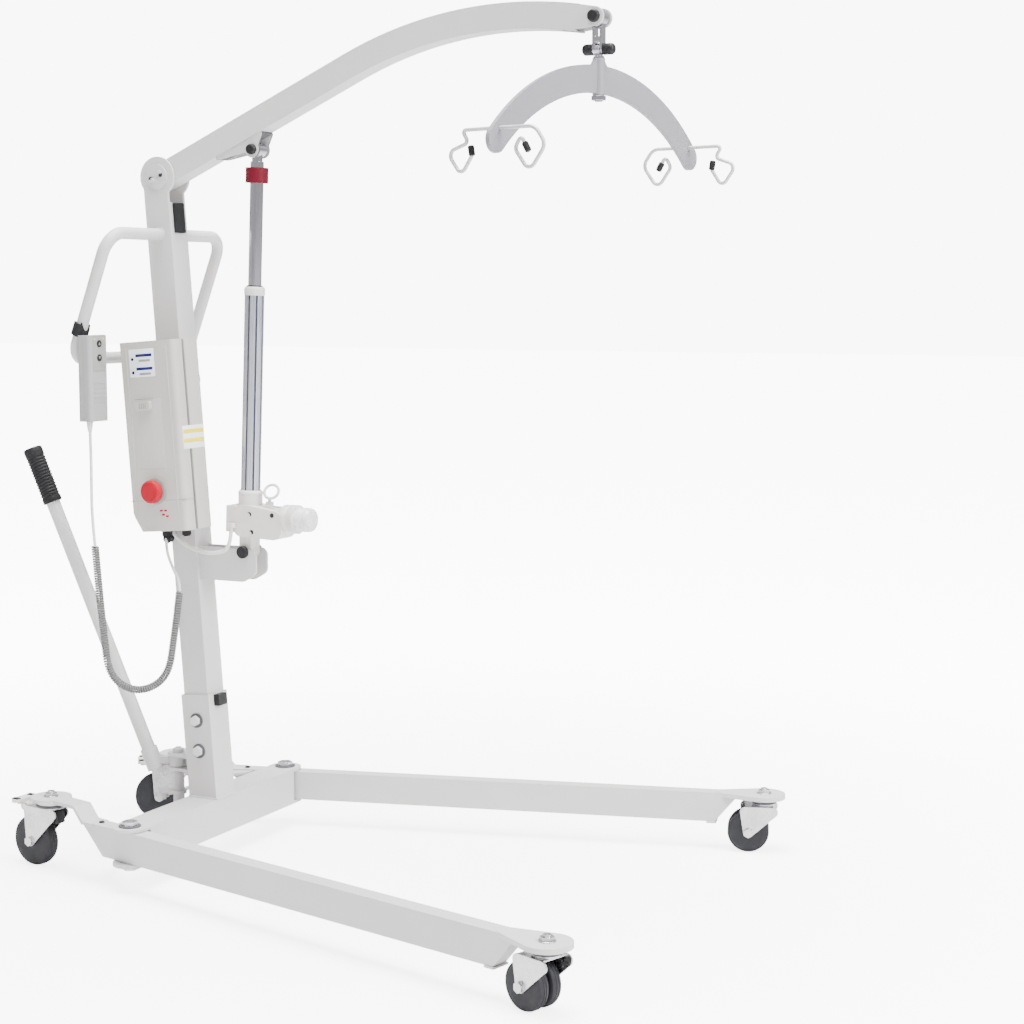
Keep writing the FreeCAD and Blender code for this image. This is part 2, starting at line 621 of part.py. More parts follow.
def actuator_foot_pins():
    """The two capped pins of the actuator's foot, one in each bracket cheek."""
    pieces = []
    inner = ACTUATOR_BRACKET_GAP
    outer = inner + ACTUATOR_BRACKET_THICK
    for sign in (1, -1):
        at = ACTUATOR_FOOT
        pin = rod(at + V(0, sign * inner, 0), at + V(0, sign * outer, 0), 6.0)
        cap = rod(at + V(0, sign * outer, 0), at + V(0, sign * (outer + 7), 0), 11.0)
        rim = [e for e in cap.Edges if e.Closed and abs(e.CenterOfMass.y - sign * (outer + 7)) < 0.1]
        pieces.append(fused(pin, cap.makeFillet(3.0, rim)))
    return group(*pieces)


# ---- boom ----
def boom_directions():
    rise = math.radians(BOOM_RISE)
    along = V(math.cos(rise), 0, math.sin(rise))
    normal = V(-math.sin(rise), 0, math.cos(rise))
    straight_end = BOOM_PIVOT + along * BOOM_STRAIGHT
    centre = straight_end - normal * BOOM_RADIUS
    return along, normal, straight_end, centre


def boom_arc_point(slope, offset):
    """A point beside the curved centre line; slope is its rise in degrees."""
    centre = boom_directions()[3]
    angle = math.radians(slope)
    return centre + V(-math.sin(angle), 0, math.cos(angle)) * (BOOM_RADIUS + offset)


NOSE_RADIUS = 15.0
NOSE_WALL = 5.0
NOSE_PIN_R = 6.0
TUBE_END_SLOPE = 9.2      # downward slope where the tube ends and the nose ears begin
EAR_ROOT_SLOPE = 8.4
SLOT_START_X = 684.0      # the slot below the nose, into which the hanger can swing
SLOT_HALF = 11.0


def boom_profile(inset, end_slope):
    """The boom's side outline, rounded about the mast pivot and square at the front."""
    depth = BOOM_HALF_DEPTH - inset
    along, normal, straight_end, _ = boom_directions()
    top_front, low_front = boom_arc_point(-end_slope, depth), boom_arc_point(-end_slope, -depth)
    middle_slope = (BOOM_RISE - end_slope) / 2
    back = BOOM_PIVOT
    edges = [
        Part.LineSegment(back + normal * depth, straight_end + normal * depth),
        Part.Arc(straight_end + normal * depth, boom_arc_point(middle_slope, depth), top_front),
        Part.LineSegment(top_front, low_front),
        Part.Arc(low_front, boom_arc_point(middle_slope, -depth), straight_end - normal * depth),
        Part.LineSegment(straight_end - normal * depth, back - normal * depth),
        Part.Arc(back - normal * depth, back - along * depth, back + normal * depth),
    ]
    return Part.Wire([e.toShape() for e in edges])


def boom_tube():
    half = BOOM_HALF_WIDTH
    outer = Part.Face(boom_profile(0, TUBE_END_SLOPE)).extrude(V(0, 2 * half, 0))
    outer.translate(V(0, -half, 0))
    hollow = half - BOOM_WALL
    inner = Part.Face(boom_profile(BOOM_WALL, TUBE_END_SLOPE + 0.5)).extrude(V(0, 2 * hollow, 0))
    inner.translate(V(0, -hollow, 0))
    body = outer.cut(inner)
    body = body.fuse(rod(BOOM_PIVOT + V(0, -half - 0.9, 0), BOOM_PIVOT + V(0, half + 0.9, 0), 14.0))
    slot_end = boom_arc_point(-TUBE_END_SLOPE, 0)
    body = body.cut(box(SLOT_START_X, slot_end.x + 20, -SLOT_HALF, SLOT_HALF, 1300, slot_end.z - 10))
    ear_root = BOOM_HALF_DEPTH - 0.5
    root_top = boom_arc_point(-EAR_ROOT_SLOPE, ear_root)
    root_low = boom_arc_point(-EAR_ROOT_SLOPE, -ear_root)
    tangent_angle = math.radians(75)
    reach, rise = NOSE_RADIUS * math.cos(tangent_angle), NOSE_RADIUS * math.sin(tangent_angle)
    for sign in (1, -1):
        y0, y1 = sorted((sign * (half - NOSE_WALL), sign * half))
        outline = [root_low, BOOM_NOSE + V(reach, 0, -rise), BOOM_NOSE + V(reach, 0, rise), root_top]
        ear = prism([V(p.x, y0, p.z) for p in outline], V(0, y1 - y0, 0))
        disc = Part.makeCylinder(NOSE_RADIUS, NOSE_WALL, V(BOOM_NOSE.x, y0, BOOM_NOSE.z), V(0, 1, 0))
        body = body.fuse(ear).fuse(disc)
    body = drilled(body, BOOM_PIVOT + V(0, -60, 0), BOOM_PIVOT + V(0, 60, 0), BOOM_PIN_R + RUN_GAP)
    return drilled(body, BOOM_NOSE + V(0, -60, 0), BOOM_NOSE + V(0, 60, 0), NOSE_PIN_R).removeSplitter()


BRACKET_EAR_Y = 17.5       # outer faces of the two ears
ROD_PIN_R = 6.0


def boom_bracket():
    """The welded bracket under the boom with two ears for the actuator's rod eye."""
    along, normal, _, _ = boom_directions()
    eye = ROD_EYE
    reach = (eye - BOOM_PIVOT).dot(along)
    under = BOOM_PIVOT - normal * BOOM_HALF_DEPTH
    back, front = under + along * (reach - 72), under + along * (reach + 30)
    strip = (back, front, front - normal * 4, back - normal * 4)
    half = BRACKET_EAR_Y
    solid = prism([V(p.x, -half, p.z) for p in strip], V(0, 2 * half, 0))
    corners = [back + along * 6 - normal * 3, front - along * 3 - normal * 3,
               eye + V(6, 0, 0), eye - V(6, 0, 0)]
    for sign in (1, -1):
        y0, y1 = sorted((sign * (half - 4), sign * half))
        boss = Part.makeCylinder(14.0, y1 - y0, V(eye.x, y0, eye.z), V(0, 1, 0))
        solid = solid.fuse(ear_plate(corners, 3.0, y0, y1)).fuse(boss)
    above = [back - along * 50, front + along * 50,
             front + along * 50 + normal * 30, back - along * 50 + normal * 30]
    solid = solid.cut(prism([V(p.x, -40, p.z) for p in above], V(0, 80, 0)))
    return drilled(solid, eye + V(0, -60, 0), eye + V(0, 60, 0), ROD_PIN_R).removeSplitter()


def boom_pins():
    """The pins at the boom's nose and at the rod eye, each with two round caps."""
    pieces = []
    for at, half, pin_radius, cap_radius in ((BOOM_NOSE, BOOM_HALF_WIDTH, NOSE_PIN_R, 10.0),
                                             (ROD_EYE, BRACKET_EAR_Y, ROD_PIN_R, 9.0)):
        whole = [rod(at + V(0, -half, 0), at + V(0, half, 0), pin_radius)]
        for sign in (1, -1):
            cap = rod(at + V(0, sign * half, 0), at + V(0, sign * (half + 8), 0), cap_radius)
            rim = [e for e in cap.Edges if e.Closed and abs(e.CenterOfMass.y - sign * (half + 8)) < 0.1]
            whole.append(cap.makeFillet(3.5, rim))
        pieces.append(fused(*whole))
    return group(*pieces)


# ---- hanger and spreader ----
HANG_X = BOOM_NOSE.x
STRAP_GAP = 4.3           # half of the space between the hanger's straps
STRAP_THICK = 4.0
CROSS_PIN_R = 4.0


def hanger_link():
    """A barrel on the nose pin with two straps, which hold the cross pin."""
    at = BOOM_NOSE
    barrel = rod(at + V(0, -13.5, 0), at + V(0, 13.5, 0), 13.0)
    pieces = [barrel]
    for sign in (1, -1):
        x0 = HANG_X + STRAP_GAP if sign > 0 else HANG_X - STRAP_GAP - STRAP_THICK
        strap = box(x0, x0 + STRAP_THICK, -8, 8, CROSS_PIN_Z, at.z)
        foot = rod(V(x0, 0, CROSS_PIN_Z), V(x0 + STRAP_THICK, 0, CROSS_PIN_Z), 8.0)
        pieces.append(strap.fuse(foot))
    bridge = box(HANG_X - STRAP_GAP, HANG_X + STRAP_GAP, -8, 8, CROSS_PIN_Z + 11.5, CROSS_PIN_Z + 19.5)
    solid = fused(bridge, *pieces)
    solid = drilled(solid, at + V(0, -40, 0), at + V(0, 40, 0), NOSE_PIN_R + RUN_GAP)
    return drilled(solid, V(HANG_X - 40, 0, CROSS_PIN_Z), V(HANG_X + 40, 0, CROSS_PIN_Z), CROSS_PIN_R)


def hanger_cross_bolt():
    """The cross pin with its two domed plastic caps, as three solids."""
    reach = STRAP_GAP + STRAP_THICK
    pieces = [rod(V(HANG_X - reach, 0, CROSS_PIN_Z), V(HANG_X + reach, 0, CROSS_PIN_Z), CROSS_PIN_R)]
    for sign in (1, -1):
        start = V(HANG_X + sign * reach, 0, CROSS_PIN_Z)
        cap = rod(start, start + V(sign * 19, 0, 0), 9.0)
        rim = [e for e in cap.Edges if e.Closed and abs(e.CenterOfMass.x - start.x - sign * 19) < 0.1]
        pieces.append(cap.makeFillet(6.0, rim))
    return group(*pieces)


BOSS_TOP, BOSS_BOTTOM = 1372.0, 1315.0
SWIVEL_PIN_R = 6.0


def swivel_bolt():
    """The eye bolt the spreader turns on: a flat eye above, and a nut below the boss."""
    eye = rod(V(HANG_X - 4, 0, CROSS_PIN_Z), V(HANG_X + 4, 0, CROSS_PIN_Z), 9.5)
    neck = box(HANG_X - 4, HANG_X + 4, -7, 7, BOSS_TOP + 1.5, CROSS_PIN_Z)
    collar = rod(V(HANG_X, 0, BOSS_TOP + 0.4), V(HANG_X, 0, BOSS_TOP + 3), 8.5)
    stem = rod(V(HANG_X, 0, BOSS_BOTTOM - 10), V(HANG_X, 0, BOSS_TOP + 2), SWIVEL_PIN_R)
    nut = hex_head(V(HANG_X, 0, BOSS_BOTTOM - 8), UP, 20, 7)
    solid = fused(eye, neck, collar, stem, nut)
    pin_start, pin_end = V(HANG_X - 40, 0, CROSS_PIN_Z), V(HANG_X + 40, 0, CROSS_PIN_Z)
    return drilled(solid, pin_start, pin_end, CROSS_PIN_R + RUN_GAP)


PLATE_HALF = 3.5
TOP_CREST, LOW_CREST = 1361.0, 1317.5
PLATE_END = V(262.0, 0, 1231.0)      # centre of each round end, along the plate
END_RADIUS = 20.0
BAR_HALF_LENGTH = 68.0
WIRE_R = 3.0


def on_spreader(shape):
    """Turns a part drawn along X, centred on the swivel, into the stored spreader's direction."""
    shape = shape.copy()
    shape.rotate(V(0, 0, 0), UP, SPREADER_YAW)
    shape.translate(V(HANG_X, 0, 0))
    return shape


def crest_radius(crest, signed_end):
    """Radius of the arc over a crest that is tangent to the plate's round ends."""
    rise = crest - PLATE_END.z
    return (PLATE_END.x ** 2 + rise ** 2 - END_RADIUS ** 2) / (2 * (rise - signed_end))


def spreader_plate():
    top_centre = V(0, 0, TOP_CREST - crest_radius(TOP_CREST, END_RADIUS))
    low_centre = V(0, 0, LOW_CREST - crest_radius(LOW_CREST, -END_RADIUS))
    top_joint = PLATE_END + (PLATE_END - top_centre).normalize() * END_RADIUS
    low_joint = PLATE_END + (low_centre - PLATE_END).normalize() * END_RADIUS
    tip = PLATE_END + V(1, 0, -1).normalize() * END_RADIUS

    def left(p):
        return V(-p.x, 0, p.z)

    edges = [
        Part.Arc(left(top_joint), V(0, 0, TOP_CREST), top_joint),
        Part.Arc(top_joint, tip, low_joint),
        Part.Arc(low_joint, V(0, 0, LOW_CREST), left(low_joint)),
        Part.Arc(left(low_joint), left(tip), left(top_joint)),
    ]
    plate = Part.Face(Part.Wire([e.toShape() for e in edges])).extrude(V(0, 2 * PLATE_HALF, 0))
    plate.translate(V(0, -PLATE_HALF, 0))
    crown_corners = [V(-20, -PLATE_HALF, 1359), V(20, -PLATE_HALF, 1359),
                     V(9, -PLATE_HALF, BOSS_TOP), V(-9, -PLATE_HALF, BOSS_TOP)]
    crown = prism(crown_corners, V(0, 2 * PLATE_HALF, 0))
    boss = rod(V(0, 0, BOSS_BOTTOM), V(0, 0, BOSS_TOP), 10.0)
    solid = fused(plate, crown, boss)
    solid = drilled(solid, V(0, 0, 1200), V(0, 0, 1500), SWIVEL_PIN_R + RUN_GAP)
    for sign in (1, -1):
        hole = V(sign * BAR_REACH, -40, BAR_Z)
        solid = drilled(solid, hole, hole + V(0, 80, 0), WIRE_R)
    return on_spreader(solid)


BAR_REACH, BAR_Z = 256.0, 1248.0


def hook_points(sign):
    """The wire of one hook, from the bar's end to the tip: a closed loop that keeps a strap in."""
    if sign > 0:
        steps = [(0, 0), (20, -27), (-10, -66), (-37, -31), (-25, -13), (-13, -33)]
    else:
        steps = [(0, 0), (12, -19), (-29, -32), (-2, -67), (19, -38), (17, -27)]
    return [V(sign * BAR_HALF_LENGTH + x, 0, z) for x, z in steps]


def sling_wire():
    """One bent wire: the straight bar with a hook loop at each end, drawn along X at the origin."""
    points = list(reversed(hook_points(-1))) + hook_points(1)
    radii = [bend_radius(*points[i - 1:i + 2], 0.34) for i in range(1, len(points) - 1)]
    return swept(points, radii, WIRE_R)


def place_bar(shape, side):
    """The left bar is the right one turned half round."""
    shape = shape.copy()
    shape.rotate(V(0, 0, 0), UP, -90)
    shape.translate(V(-BAR_REACH, 0, BAR_Z))
    if side > 0:
        shape.rotate(V(0, 0, 0), UP, 180)
    return on_spreader(shape)


def sling_bar(side):
    return place_bar(sling_wire(), side)


def hook_tips():
    """Plastic balls on the four wire ends."""
    wire = sling_wire()
    pieces = []
    for side in (1, -1):
        for sign in (1, -1):
            points = hook_points(sign)
            end = points[-1]
            run = (end - points[-2]).normalize()
            tip = rod(end - run * 12, end + run * 4, 5.0)
            rim = [e for e in tip.Edges if e.Closed]
            tip = tip.makeFillet(2.5, rim).cut(wire)
            pieces.append(place_bar(tip, side))
    return group(*pieces)


# ---- actuator ----
def actuator_axis(distance, x=0.0, y=0.0):
    """A point at a distance up the actuator from its foot, and beside it."""
    run = (ROD_EYE - ACTUATOR_FOOT).normalize()
    side = V(run.z, 0, -run.x)
    return ACTUATOR_FOOT + run * distance + side * x + V(0, y, 0)


def actuator_block(x0, x1, y0, y1, d0, d1):
    corners = [actuator_axis(d, x, y0) for d, x in ((d0, x0), (d0, x1), (d1, x1), (d1, x0))]
    return prism(corners, V(0, y1 - y0, 0))


OUTER_TUBE_R, OUTER_TUBE_BORE = 17.0, 14.0
PISTON_R = 11.5
GEARBOX_HALF = 24.0
FOOT_HALF = 14.5
SCREW_HEIGHT = 1.5
LEAD_R = 3.5
LEAD_START = V(70, -30.6, 600)    # where the motor's lead leaves its gland beside the gearbox


def gearbox_body():
    corners = [actuator_axis(45, -2), actuator_axis(66, 0), actuator_axis(60, 62), actuator_axis(45, 62)]
    return ear_plate(corners, 18.0, -GEARBOX_HALF, GEARBOX_HALF)


def gear_housing():
    """The gearbox with its foot lug, the small box at its rear, and two cover screws."""
    foot = ACTUATOR_FOOT
    lug = actuator_block(-12, 12, -FOOT_HALF, FOOT_HALF, 0, 30)
    lug = lug.fuse(Part.makeCylinder(13.0, 2 * FOOT_HALF, foot + V(0, -FOOT_HALF, 0), V(0, 1, 0)))
    neck = rod(actuator_axis(60), actuator_axis(104), 21.0)
    rear_box = actuator_block(-34, -14, -GEARBOX_HALF, 20, 34, 80)
    solid = fused(lug, gearbox_body(), neck, rear_box)
    solid = solid.cut(rod(actuator_axis(92), actuator_axis(120), OUTER_TUBE_R))
    for x, d in ((12, 66), (16, 34)):
        screw_at = actuator_axis(d, x, -GEARBOX_HALF)
        solid = solid.fuse(rod(screw_at, screw_at + V(0, -SCREW_HEIGHT, 0), 4.0))
    return drilled(solid, foot + V(0, -40, 0), foot + V(0, 40, 0), 6.5).removeSplitter()


def motor_housing():
    """The motor's round can with its thin cover, standing out in front of the gearbox."""
    start, step, end = actuator_axis(62, 58), actuator_axis(64, 97), actuator_axis(67, 135)
    can = rod(start, step, 25.0)
    cover = rod(step, end, 22.0)
    rim = [e for e in cover.Edges if e.Closed and (e.CenterOfMass - end).Length < 2]
    cover = cover.makeFillet(6.0, rim)
    return fused(can, cover).cut(gearbox_body())


def outer_tube():
    """The extruded outer tube with its end cap and the flange above the gearbox."""
    start, end, rim = actuator_axis(92), actuator_axis(448), actuator_axis(461)
    body = rod(start, end, OUTER_TUBE_R)
    cap = rod(end, rim, OUTER_TUBE_R + 1)
    flange = rod(actuator_axis(104), actuator_axis(108), 20.0)
    solid = fused(body, cap, flange).cut(rod(actuator_axis(112), end, OUTER_TUBE_BORE))
    return solid.cut(rod(end, rim, PISTON_R + RUN_GAP))


def lowering_ring():
    """The white pull ring that lowers the boom by hand if the power fails."""
    seat = actuator_axis(84, 40)
    ring = Part.makeTorus(13.0, 2.5, seat + V(4, 0, 24), V(0.1, -0.5, 0.3))
    stem = rod(seat + V(0, 0, 0.3), seat + V(0, 0, 14), 3.0)
    collar = rod(seat + V(0, 0, 0.3), seat + V(0, 0, 6), 7.0)
    return fused(stem, collar, ring)


def piston_rod():
    run = (ROD_EYE - ACTUATOR_FOOT).normalize()
    start, top = actuator_axis(293), ROD_EYE - run * 20
    shaft = rod(start, top, PISTON_R)
    eye = Part.makeCylinder(12.5, 24.0, ROD_EYE + V(0, -12, 0), V(0, 1, 0))
    neck = rod(top, ROD_EYE, 9.0)
    solid = fused(shaft, neck, eye)
    return drilled(solid, ROD_EYE + V(0, -30, 0), ROD_EYE + V(0, 30, 0), ROD_PIN_R + RUN_GAP)


def rod_collar():
    """The red plastic collar around the top of the chrome rod."""
    top = (ROD_EYE - ACTUATOR_FOOT).Length
    return tube(actuator_axis(top - 56), actuator_axis(top - 30), 19.5, PISTON_R)


# ---- control box ----
BOX_Y0, BOX_Y1 = -105.0, -28.0
BOX_LOW, BOX_HIGH = 486.0, 815.0      # up the mast from the beam
BOX_REAR, BOX_FRONT = -48.0, 68.0
BOX_SEAM = -74.0                      # where the battery cover meets the base
# sockets below the box for the handset, the motor and a charger: forward of the mast, and across
SOCKETS = ((-8.0, -62.0), (-18.0, -38.0), (26.0, -50.0))
STOP_X, STOP_UP = 7.7, 556.0
STOP_STEM_R = 8.0
CATCH_X, CATCH_UP = -1.0, 704.0


def rounded_block(x0, x1, y0, y1, z0, z1, radius):
    block = box(x0, x1, y0, y1, z0, z1)
    upright = [e for e in block.Edges if e.BoundBox.ZLength > max(e.BoundBox.XLength, e.BoundBox.YLength)]
    return block.makeFillet(radius, upright)


def box_outline(y0, y1):
    low, high = BEAM_TOP + BOX_LOW, BEAM_TOP + BOX_HIGH
    block = rounded_block(BOX_REAR, BOX_FRONT, y0, y1, low, high, 9.0)
    rear = BOX_REAR - 1
    corner = [V(rear, y0 - 1, low - 1), V(rear + 23, y0 - 1, low - 1), V(rear, y0 - 1, low + 40)]
    return block.cut(prism(corner, V(0, y1 - y0 + 2, 0)))


def control_box():
    """The back half of the box with the electronics, its mast bracket and its sockets below."""
    low = BEAM_TOP + BOX_LOW
    shell = box_outline(BOX_SEAM + 0.2, BOX_Y1)
    shell = fused(shell, box(-22, 22, BOX_Y1, -MAST_SIZE / 2, low + 74, low + 274))
    plugs = [rod(V(x, y, low), V(x, y, low - 12), 8.0) for x, y in SOCKETS]
    return on_mast(group(shell, *plugs))


def battery_pack():
    """The removable front half of the box, hollow for the battery cells."""
    low, high = BEAM_TOP + BOX_LOW, BEAM_TOP + BOX_HIGH
    shell = box_outline(BOX_Y0, BOX_SEAM)
    cells = box(BOX_REAR + 4, BOX_FRONT - 4, BOX_Y0 + 16, BOX_SEAM - 4, low + 60, high - 40)
    shell = shell.cut(cells)
    mouth = V(STOP_X, BOX_Y0, BEAM_TOP + STOP_UP)
    return on_mast(drilled(shell, mouth, mouth + V(0, 15, 0), STOP_STEM_R + 0.3))


def stop_button():
    """The red mushroom push button."""
    at = V(STOP_X, BOX_Y0, BEAM_TOP + STOP_UP)
    stem = rod(at + V(0, 9, 0), at + V(0, -8, 0), STOP_STEM_R)
    head = rod(at + V(0, -8, 0), at + V(0, -20, 0), 20.0)
    rim = [e for e in head.Edges if e.Closed and abs(e.CenterOfMass.y - at.y + 20) < 0.1]
    return on_mast(fused(stem, head.makeFillet(5.0, rim)))


def battery_catch():
    """The sliding catch that lets the battery pack go."""
    at = V(CATCH_X, BOX_Y0, BEAM_TOP + CATCH_UP)
    slide = box(at.x - 15, at.x + 15, at.y - 8.2, at.y - 0.2, at.z - 8, at.z + 8)
    upright = [e for e in slide.Edges if e.BoundBox.YLength > 5]
    return on_mast(slide.makeFillet(4.0, upright))


# ---- handset and its cable ----
HANDSET_X, HANDSET_Y = -113.0, -170.0
HANDSET_LOW, HANDSET_HIGH = 789.0, 935.0
BUTTON_Z = (921.0, 897.0)
BUTTON_R = 6.0


def handset_case():
    """The handset's two shells, hanging beside the push handle."""
    x, y = HANDSET_X, HANDSET_Y
    body = rounded_block(x - 14, x + 14, y - 25, y + 25, HANDSET_LOW, HANDSET_HIGH, 7.0)
    for z in BUTTON_Z:
        body = drilled(body, V(x + 8, y, z), V(x + 20, y, z), BUTTON_R + 0.3)
    front = body.common(box(x, x + 60, y - 60, y + 60, 0, 2000))
    back = body.common(box(x - 60, x, y - 60, y + 60, 0, 2000))
    return group(front, back)


def handset_button(index):
    z = BUTTON_Z[index]
    return rod(V(HANDSET_X + 10, HANDSET_Y, z), V(HANDSET_X + 15.5, HANDSET_Y, z), BUTTON_R)


def handset_hook():
    """The plastic clip on the handset's back that grips the handle's side tube."""
    tilt = math.radians(HANDLE_TILT)
    run = V(math.sin(tilt), 0, math.cos(tilt))
    centre = mast_point(0, -HANDLE_HALF_Y, HANDLE_TOP_UP) - run * 175
    ring = rod(centre - run * 11, centre + run * 11, HANDLE_TUBE_R + 4)
    back = HANDSET_X - 14
    bridge = box(centre.x, back, HANDSET_Y - 8, HANDSET_Y + 8, centre.z - 12, centre.z + 12)
    spring = box(back - 5, back, HANDSET_Y - 8, HANDSET_Y + 8, centre.z - 60, centre.z)
    solid = fused(ring, bridge, spring).cut(rod(centre - run * 80, centre + run * 60, HANDLE_TUBE_R))
    solid = solid.cut(box(back, back + 60, -300, 0, 0, 2000))
    low = centre + V(0, 0, -60)
    mouth = prism([low, low + V(-40, -26, 0), low + V(-40, 26, 0)], V(0, 0, 120))
    return solid.cut(mouth)


CABLE_R, COIL_R = 2.6, 7.0
RELIEF_END = HANDSET_LOW - 18


def cable_glands():
    """The strain relief under the handset, and the elbow block of the motor's lead."""
    x, y = HANDSET_X - 4, HANDSET_Y - 6
    cone = Part.makeCone(3.6, 6.0, 18.0, V(x, y, RELIEF_END))
    cone = drilled(cone, V(x, y, RELIEF_END - 1), V(x, y, RELIEF_END + 8), CABLE_R)
    start = LEAD_START
    beside = -GEARBOX_HALF - SCREW_HEIGHT - RUN_GAP
    elbow = rounded_block(start.x - 7, start.x + 7, start.y - 6, beside, start.z, start.z + 8, 3.0)
    return group(cone, elbow)


# ---- cords: routes of hand-chosen points ----
CABLE_TOP_ROUTE = [V(-117, -176, RELIEF_END + 8), V(-116, -176, 733), V(-118, -174, 678),
                   V(-120, -172, 625), V(-117, -169, 572)]
COIL_ROUTE = [V(-117, -169, 572), V(-115, -166, 520), V(-113, -162, 465), V(-110, -158, 410),
              V(-108, -153, 357), V(-88, -148, 330), V(-56, -138, 319), V(-24, -126, 330),
              V(-4, -117, 357), V(-1, -108, 405), V(1, -99, 450), V(2, -92, 490)]
TAIL_ROUTE = [V(2, -92, 490), V(2, -90, 508), V(-20, -81, 532), V(-40, -71, 562), V(-44.5, -63, 592)]
LEAD_ROUTE = [LEAD_START, V(69, -31, 564), V(39, -34, 553), V(5, -36, 555),
              V(-28, -38, 568), V(-54, -38, 592)]


PARTS = {
    "cross_beam": cross_beam,
    "mast_socket": mast_socket,
    "frame_bolts": frame_bolts,
    "socket_knob": socket_knob,
    "mast_tube": mast_tube,
    "boom_pivot_pin": boom_pivot_pin,
    "mast_bumper": mast_bumper,
    "push_handle": push_handle,
    "actuator_bracket": actuator_bracket,
    "actuator_foot_pins": actuator_foot_pins,
    "control_box": control_box,
    "battery_pack": battery_pack,
    "battery_catch": battery_catch,
    "stop_button": stop_button,
    "handset_case": handset_case,
    "handset_hook": handset_hook,
    "cable_glands": cable_glands,
    "button_up": lambda: handset_button(0),
    "button_down": lambda: handset_button(1),
    "cable_top": lambda: cord_tube("cable_top", CABLE_TOP_ROUTE, CABLE_R),
    "cable_coil": lambda: cord_tube("cable_coil", COIL_ROUTE, COIL_R),
    "cable_tail": lambda: cord_tube("cable_tail", TAIL_ROUTE, CABLE_R),
    "motor_lead": lambda: cord_tube("motor_lead", LEAD_ROUTE, LEAD_R),
    "crank_shaft": crank_shaft,
    "lever_tube": lever_tube,
    "lever_grip": lever_grip,
    "boom_tube": boom_tube,
    "boom_bracket": boom_bracket,
    "boom_pins": boom_pins,
    "hanger_link": hanger_link,
    "hanger_cross_bolt": hanger_cross_bolt,
    "swivel_bolt": swivel_bolt,
    "spreader_plate": spreader_plate,
    "hook_tips": hook_tips,
    "gear_housing": gear_housing,
    "motor_housing": motor_housing,
    "outer_tube": outer_tube,
    "lowering_ring": lowering_ring,
    "piston_rod": piston_rod,
    "rod_collar": rod_collar,
}
for side_name, side_sign in (("left", 1), ("right", -1)):
    PARTS["leg_" + side_name] = lambda s=side_sign: leg(s)
    PARTS[side_name + "_castor_stems"] = lambda s=side_sign: castor_stems(s)
    PARTS["tie_rod_" + side_name] = lambda s=side_sign: tie_rod(s)
    PARTS["sling_bar_" + side_name] = lambda s=side_sign: sling_bar(s)
    front, rear = "front_" + side_name, "rear_" + side_name
    PARTS[front + "_fork"] = lambda n=front: front_fork(n)
    PARTS[front + "_wheel_a"] = lambda n=front: front_wheel(n, True)
    PARTS[front + "_wheel_b"] = lambda n=front: front_wheel(n, False)
    PARTS[rear + "_fork"] = lambda n=rear: rear_fork(n)
    PARTS[rear + "_wheel"] = lambda n=rear: rear_wheel(n)
    PARTS[rear + "_pedal"] = lambda n=rear: brake_pedal(n)

os.makedirs("parts", exist_ok=True)
for node, make in PARTS.items():
    shape = make()
    shape.translate(ORIGIN_SHIFT)
    if not shape.isValid():
        print("not valid:", node)
    shape.exportStep("parts/" + node + ".step")
print(len(PARTS), "nodes written")
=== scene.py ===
import json
import math
import bmesh
import bpy
from mathutils import Matrix, Vector


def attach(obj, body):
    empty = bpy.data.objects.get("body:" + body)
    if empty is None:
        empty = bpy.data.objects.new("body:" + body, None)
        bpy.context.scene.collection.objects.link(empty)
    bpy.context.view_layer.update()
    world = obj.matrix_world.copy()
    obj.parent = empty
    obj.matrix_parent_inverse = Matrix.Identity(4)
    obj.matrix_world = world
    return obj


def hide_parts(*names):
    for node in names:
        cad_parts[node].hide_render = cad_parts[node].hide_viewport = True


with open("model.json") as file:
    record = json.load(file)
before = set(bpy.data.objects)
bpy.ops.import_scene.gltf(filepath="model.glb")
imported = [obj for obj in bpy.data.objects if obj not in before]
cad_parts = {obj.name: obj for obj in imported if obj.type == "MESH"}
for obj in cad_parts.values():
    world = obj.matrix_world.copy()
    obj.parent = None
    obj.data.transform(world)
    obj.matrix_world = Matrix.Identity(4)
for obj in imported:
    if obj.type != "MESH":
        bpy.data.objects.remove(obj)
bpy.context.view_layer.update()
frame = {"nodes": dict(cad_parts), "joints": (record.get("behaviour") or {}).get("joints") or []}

# The lift is laid out in millimetres from the leg pivots, as in the CAD. The row frame's
# origin is under the middle of the bounding box, so every X moves back by this much.
PIVOT_BACK = 286.5
LEG_PIVOT_Y, LEG_SPLAY = 243.0, math.radians(14.15)
HANGER_X = 751.0
MAST_LEAN = math.radians(4.3)
BEAM_TOP = 111.0
HANDLE_UP = 1000.0
BOX_FRONT_Y, BOX_FRONT_X = -105.0, 68.0      # the control box's outer faces
BOX_LOW, BOX_SEAM_Y = 486.0, -74.0
STOP_X, STOP_UP = 7.7, 556.0                 # the stop button's centre
HANDSET_X, HANDSET_Y = -113.0, -170.0
UP = Vector((0, 0, 1))
NEAR = Vector((0, -1, 0))
JOINTS = {j["name"]: j for j in frame["joints"]}


def at(x, y, z):
    """A point given in millimetres from the leg pivots, in the row frame."""
    return Vector(((x - PIVOT_BACK) / 1000, y / 1000, z / 1000))


def on_mast(x, y, up):
    """A point given across and up the leaning mast, measured from the beam's top."""
    return at(x * math.cos(MAST_LEAN) - up * math.sin(MAST_LEAN), y,
              BEAM_TOP + x * math.sin(MAST_LEAN) + up * math.cos(MAST_LEAN))


MAST_HEAD = at(-78, 0, 1208)
ROD_EYE = at(115, 0, 1250)
ACTUATOR_FOOT = at(87, 0, 557)
ACTUATOR_RUN = (ROD_EYE - ACTUATOR_FOOT).normalized()
ACTUATOR_SIDE = Vector((ACTUATOR_RUN.z, 0, -ACTUATOR_RUN.x))


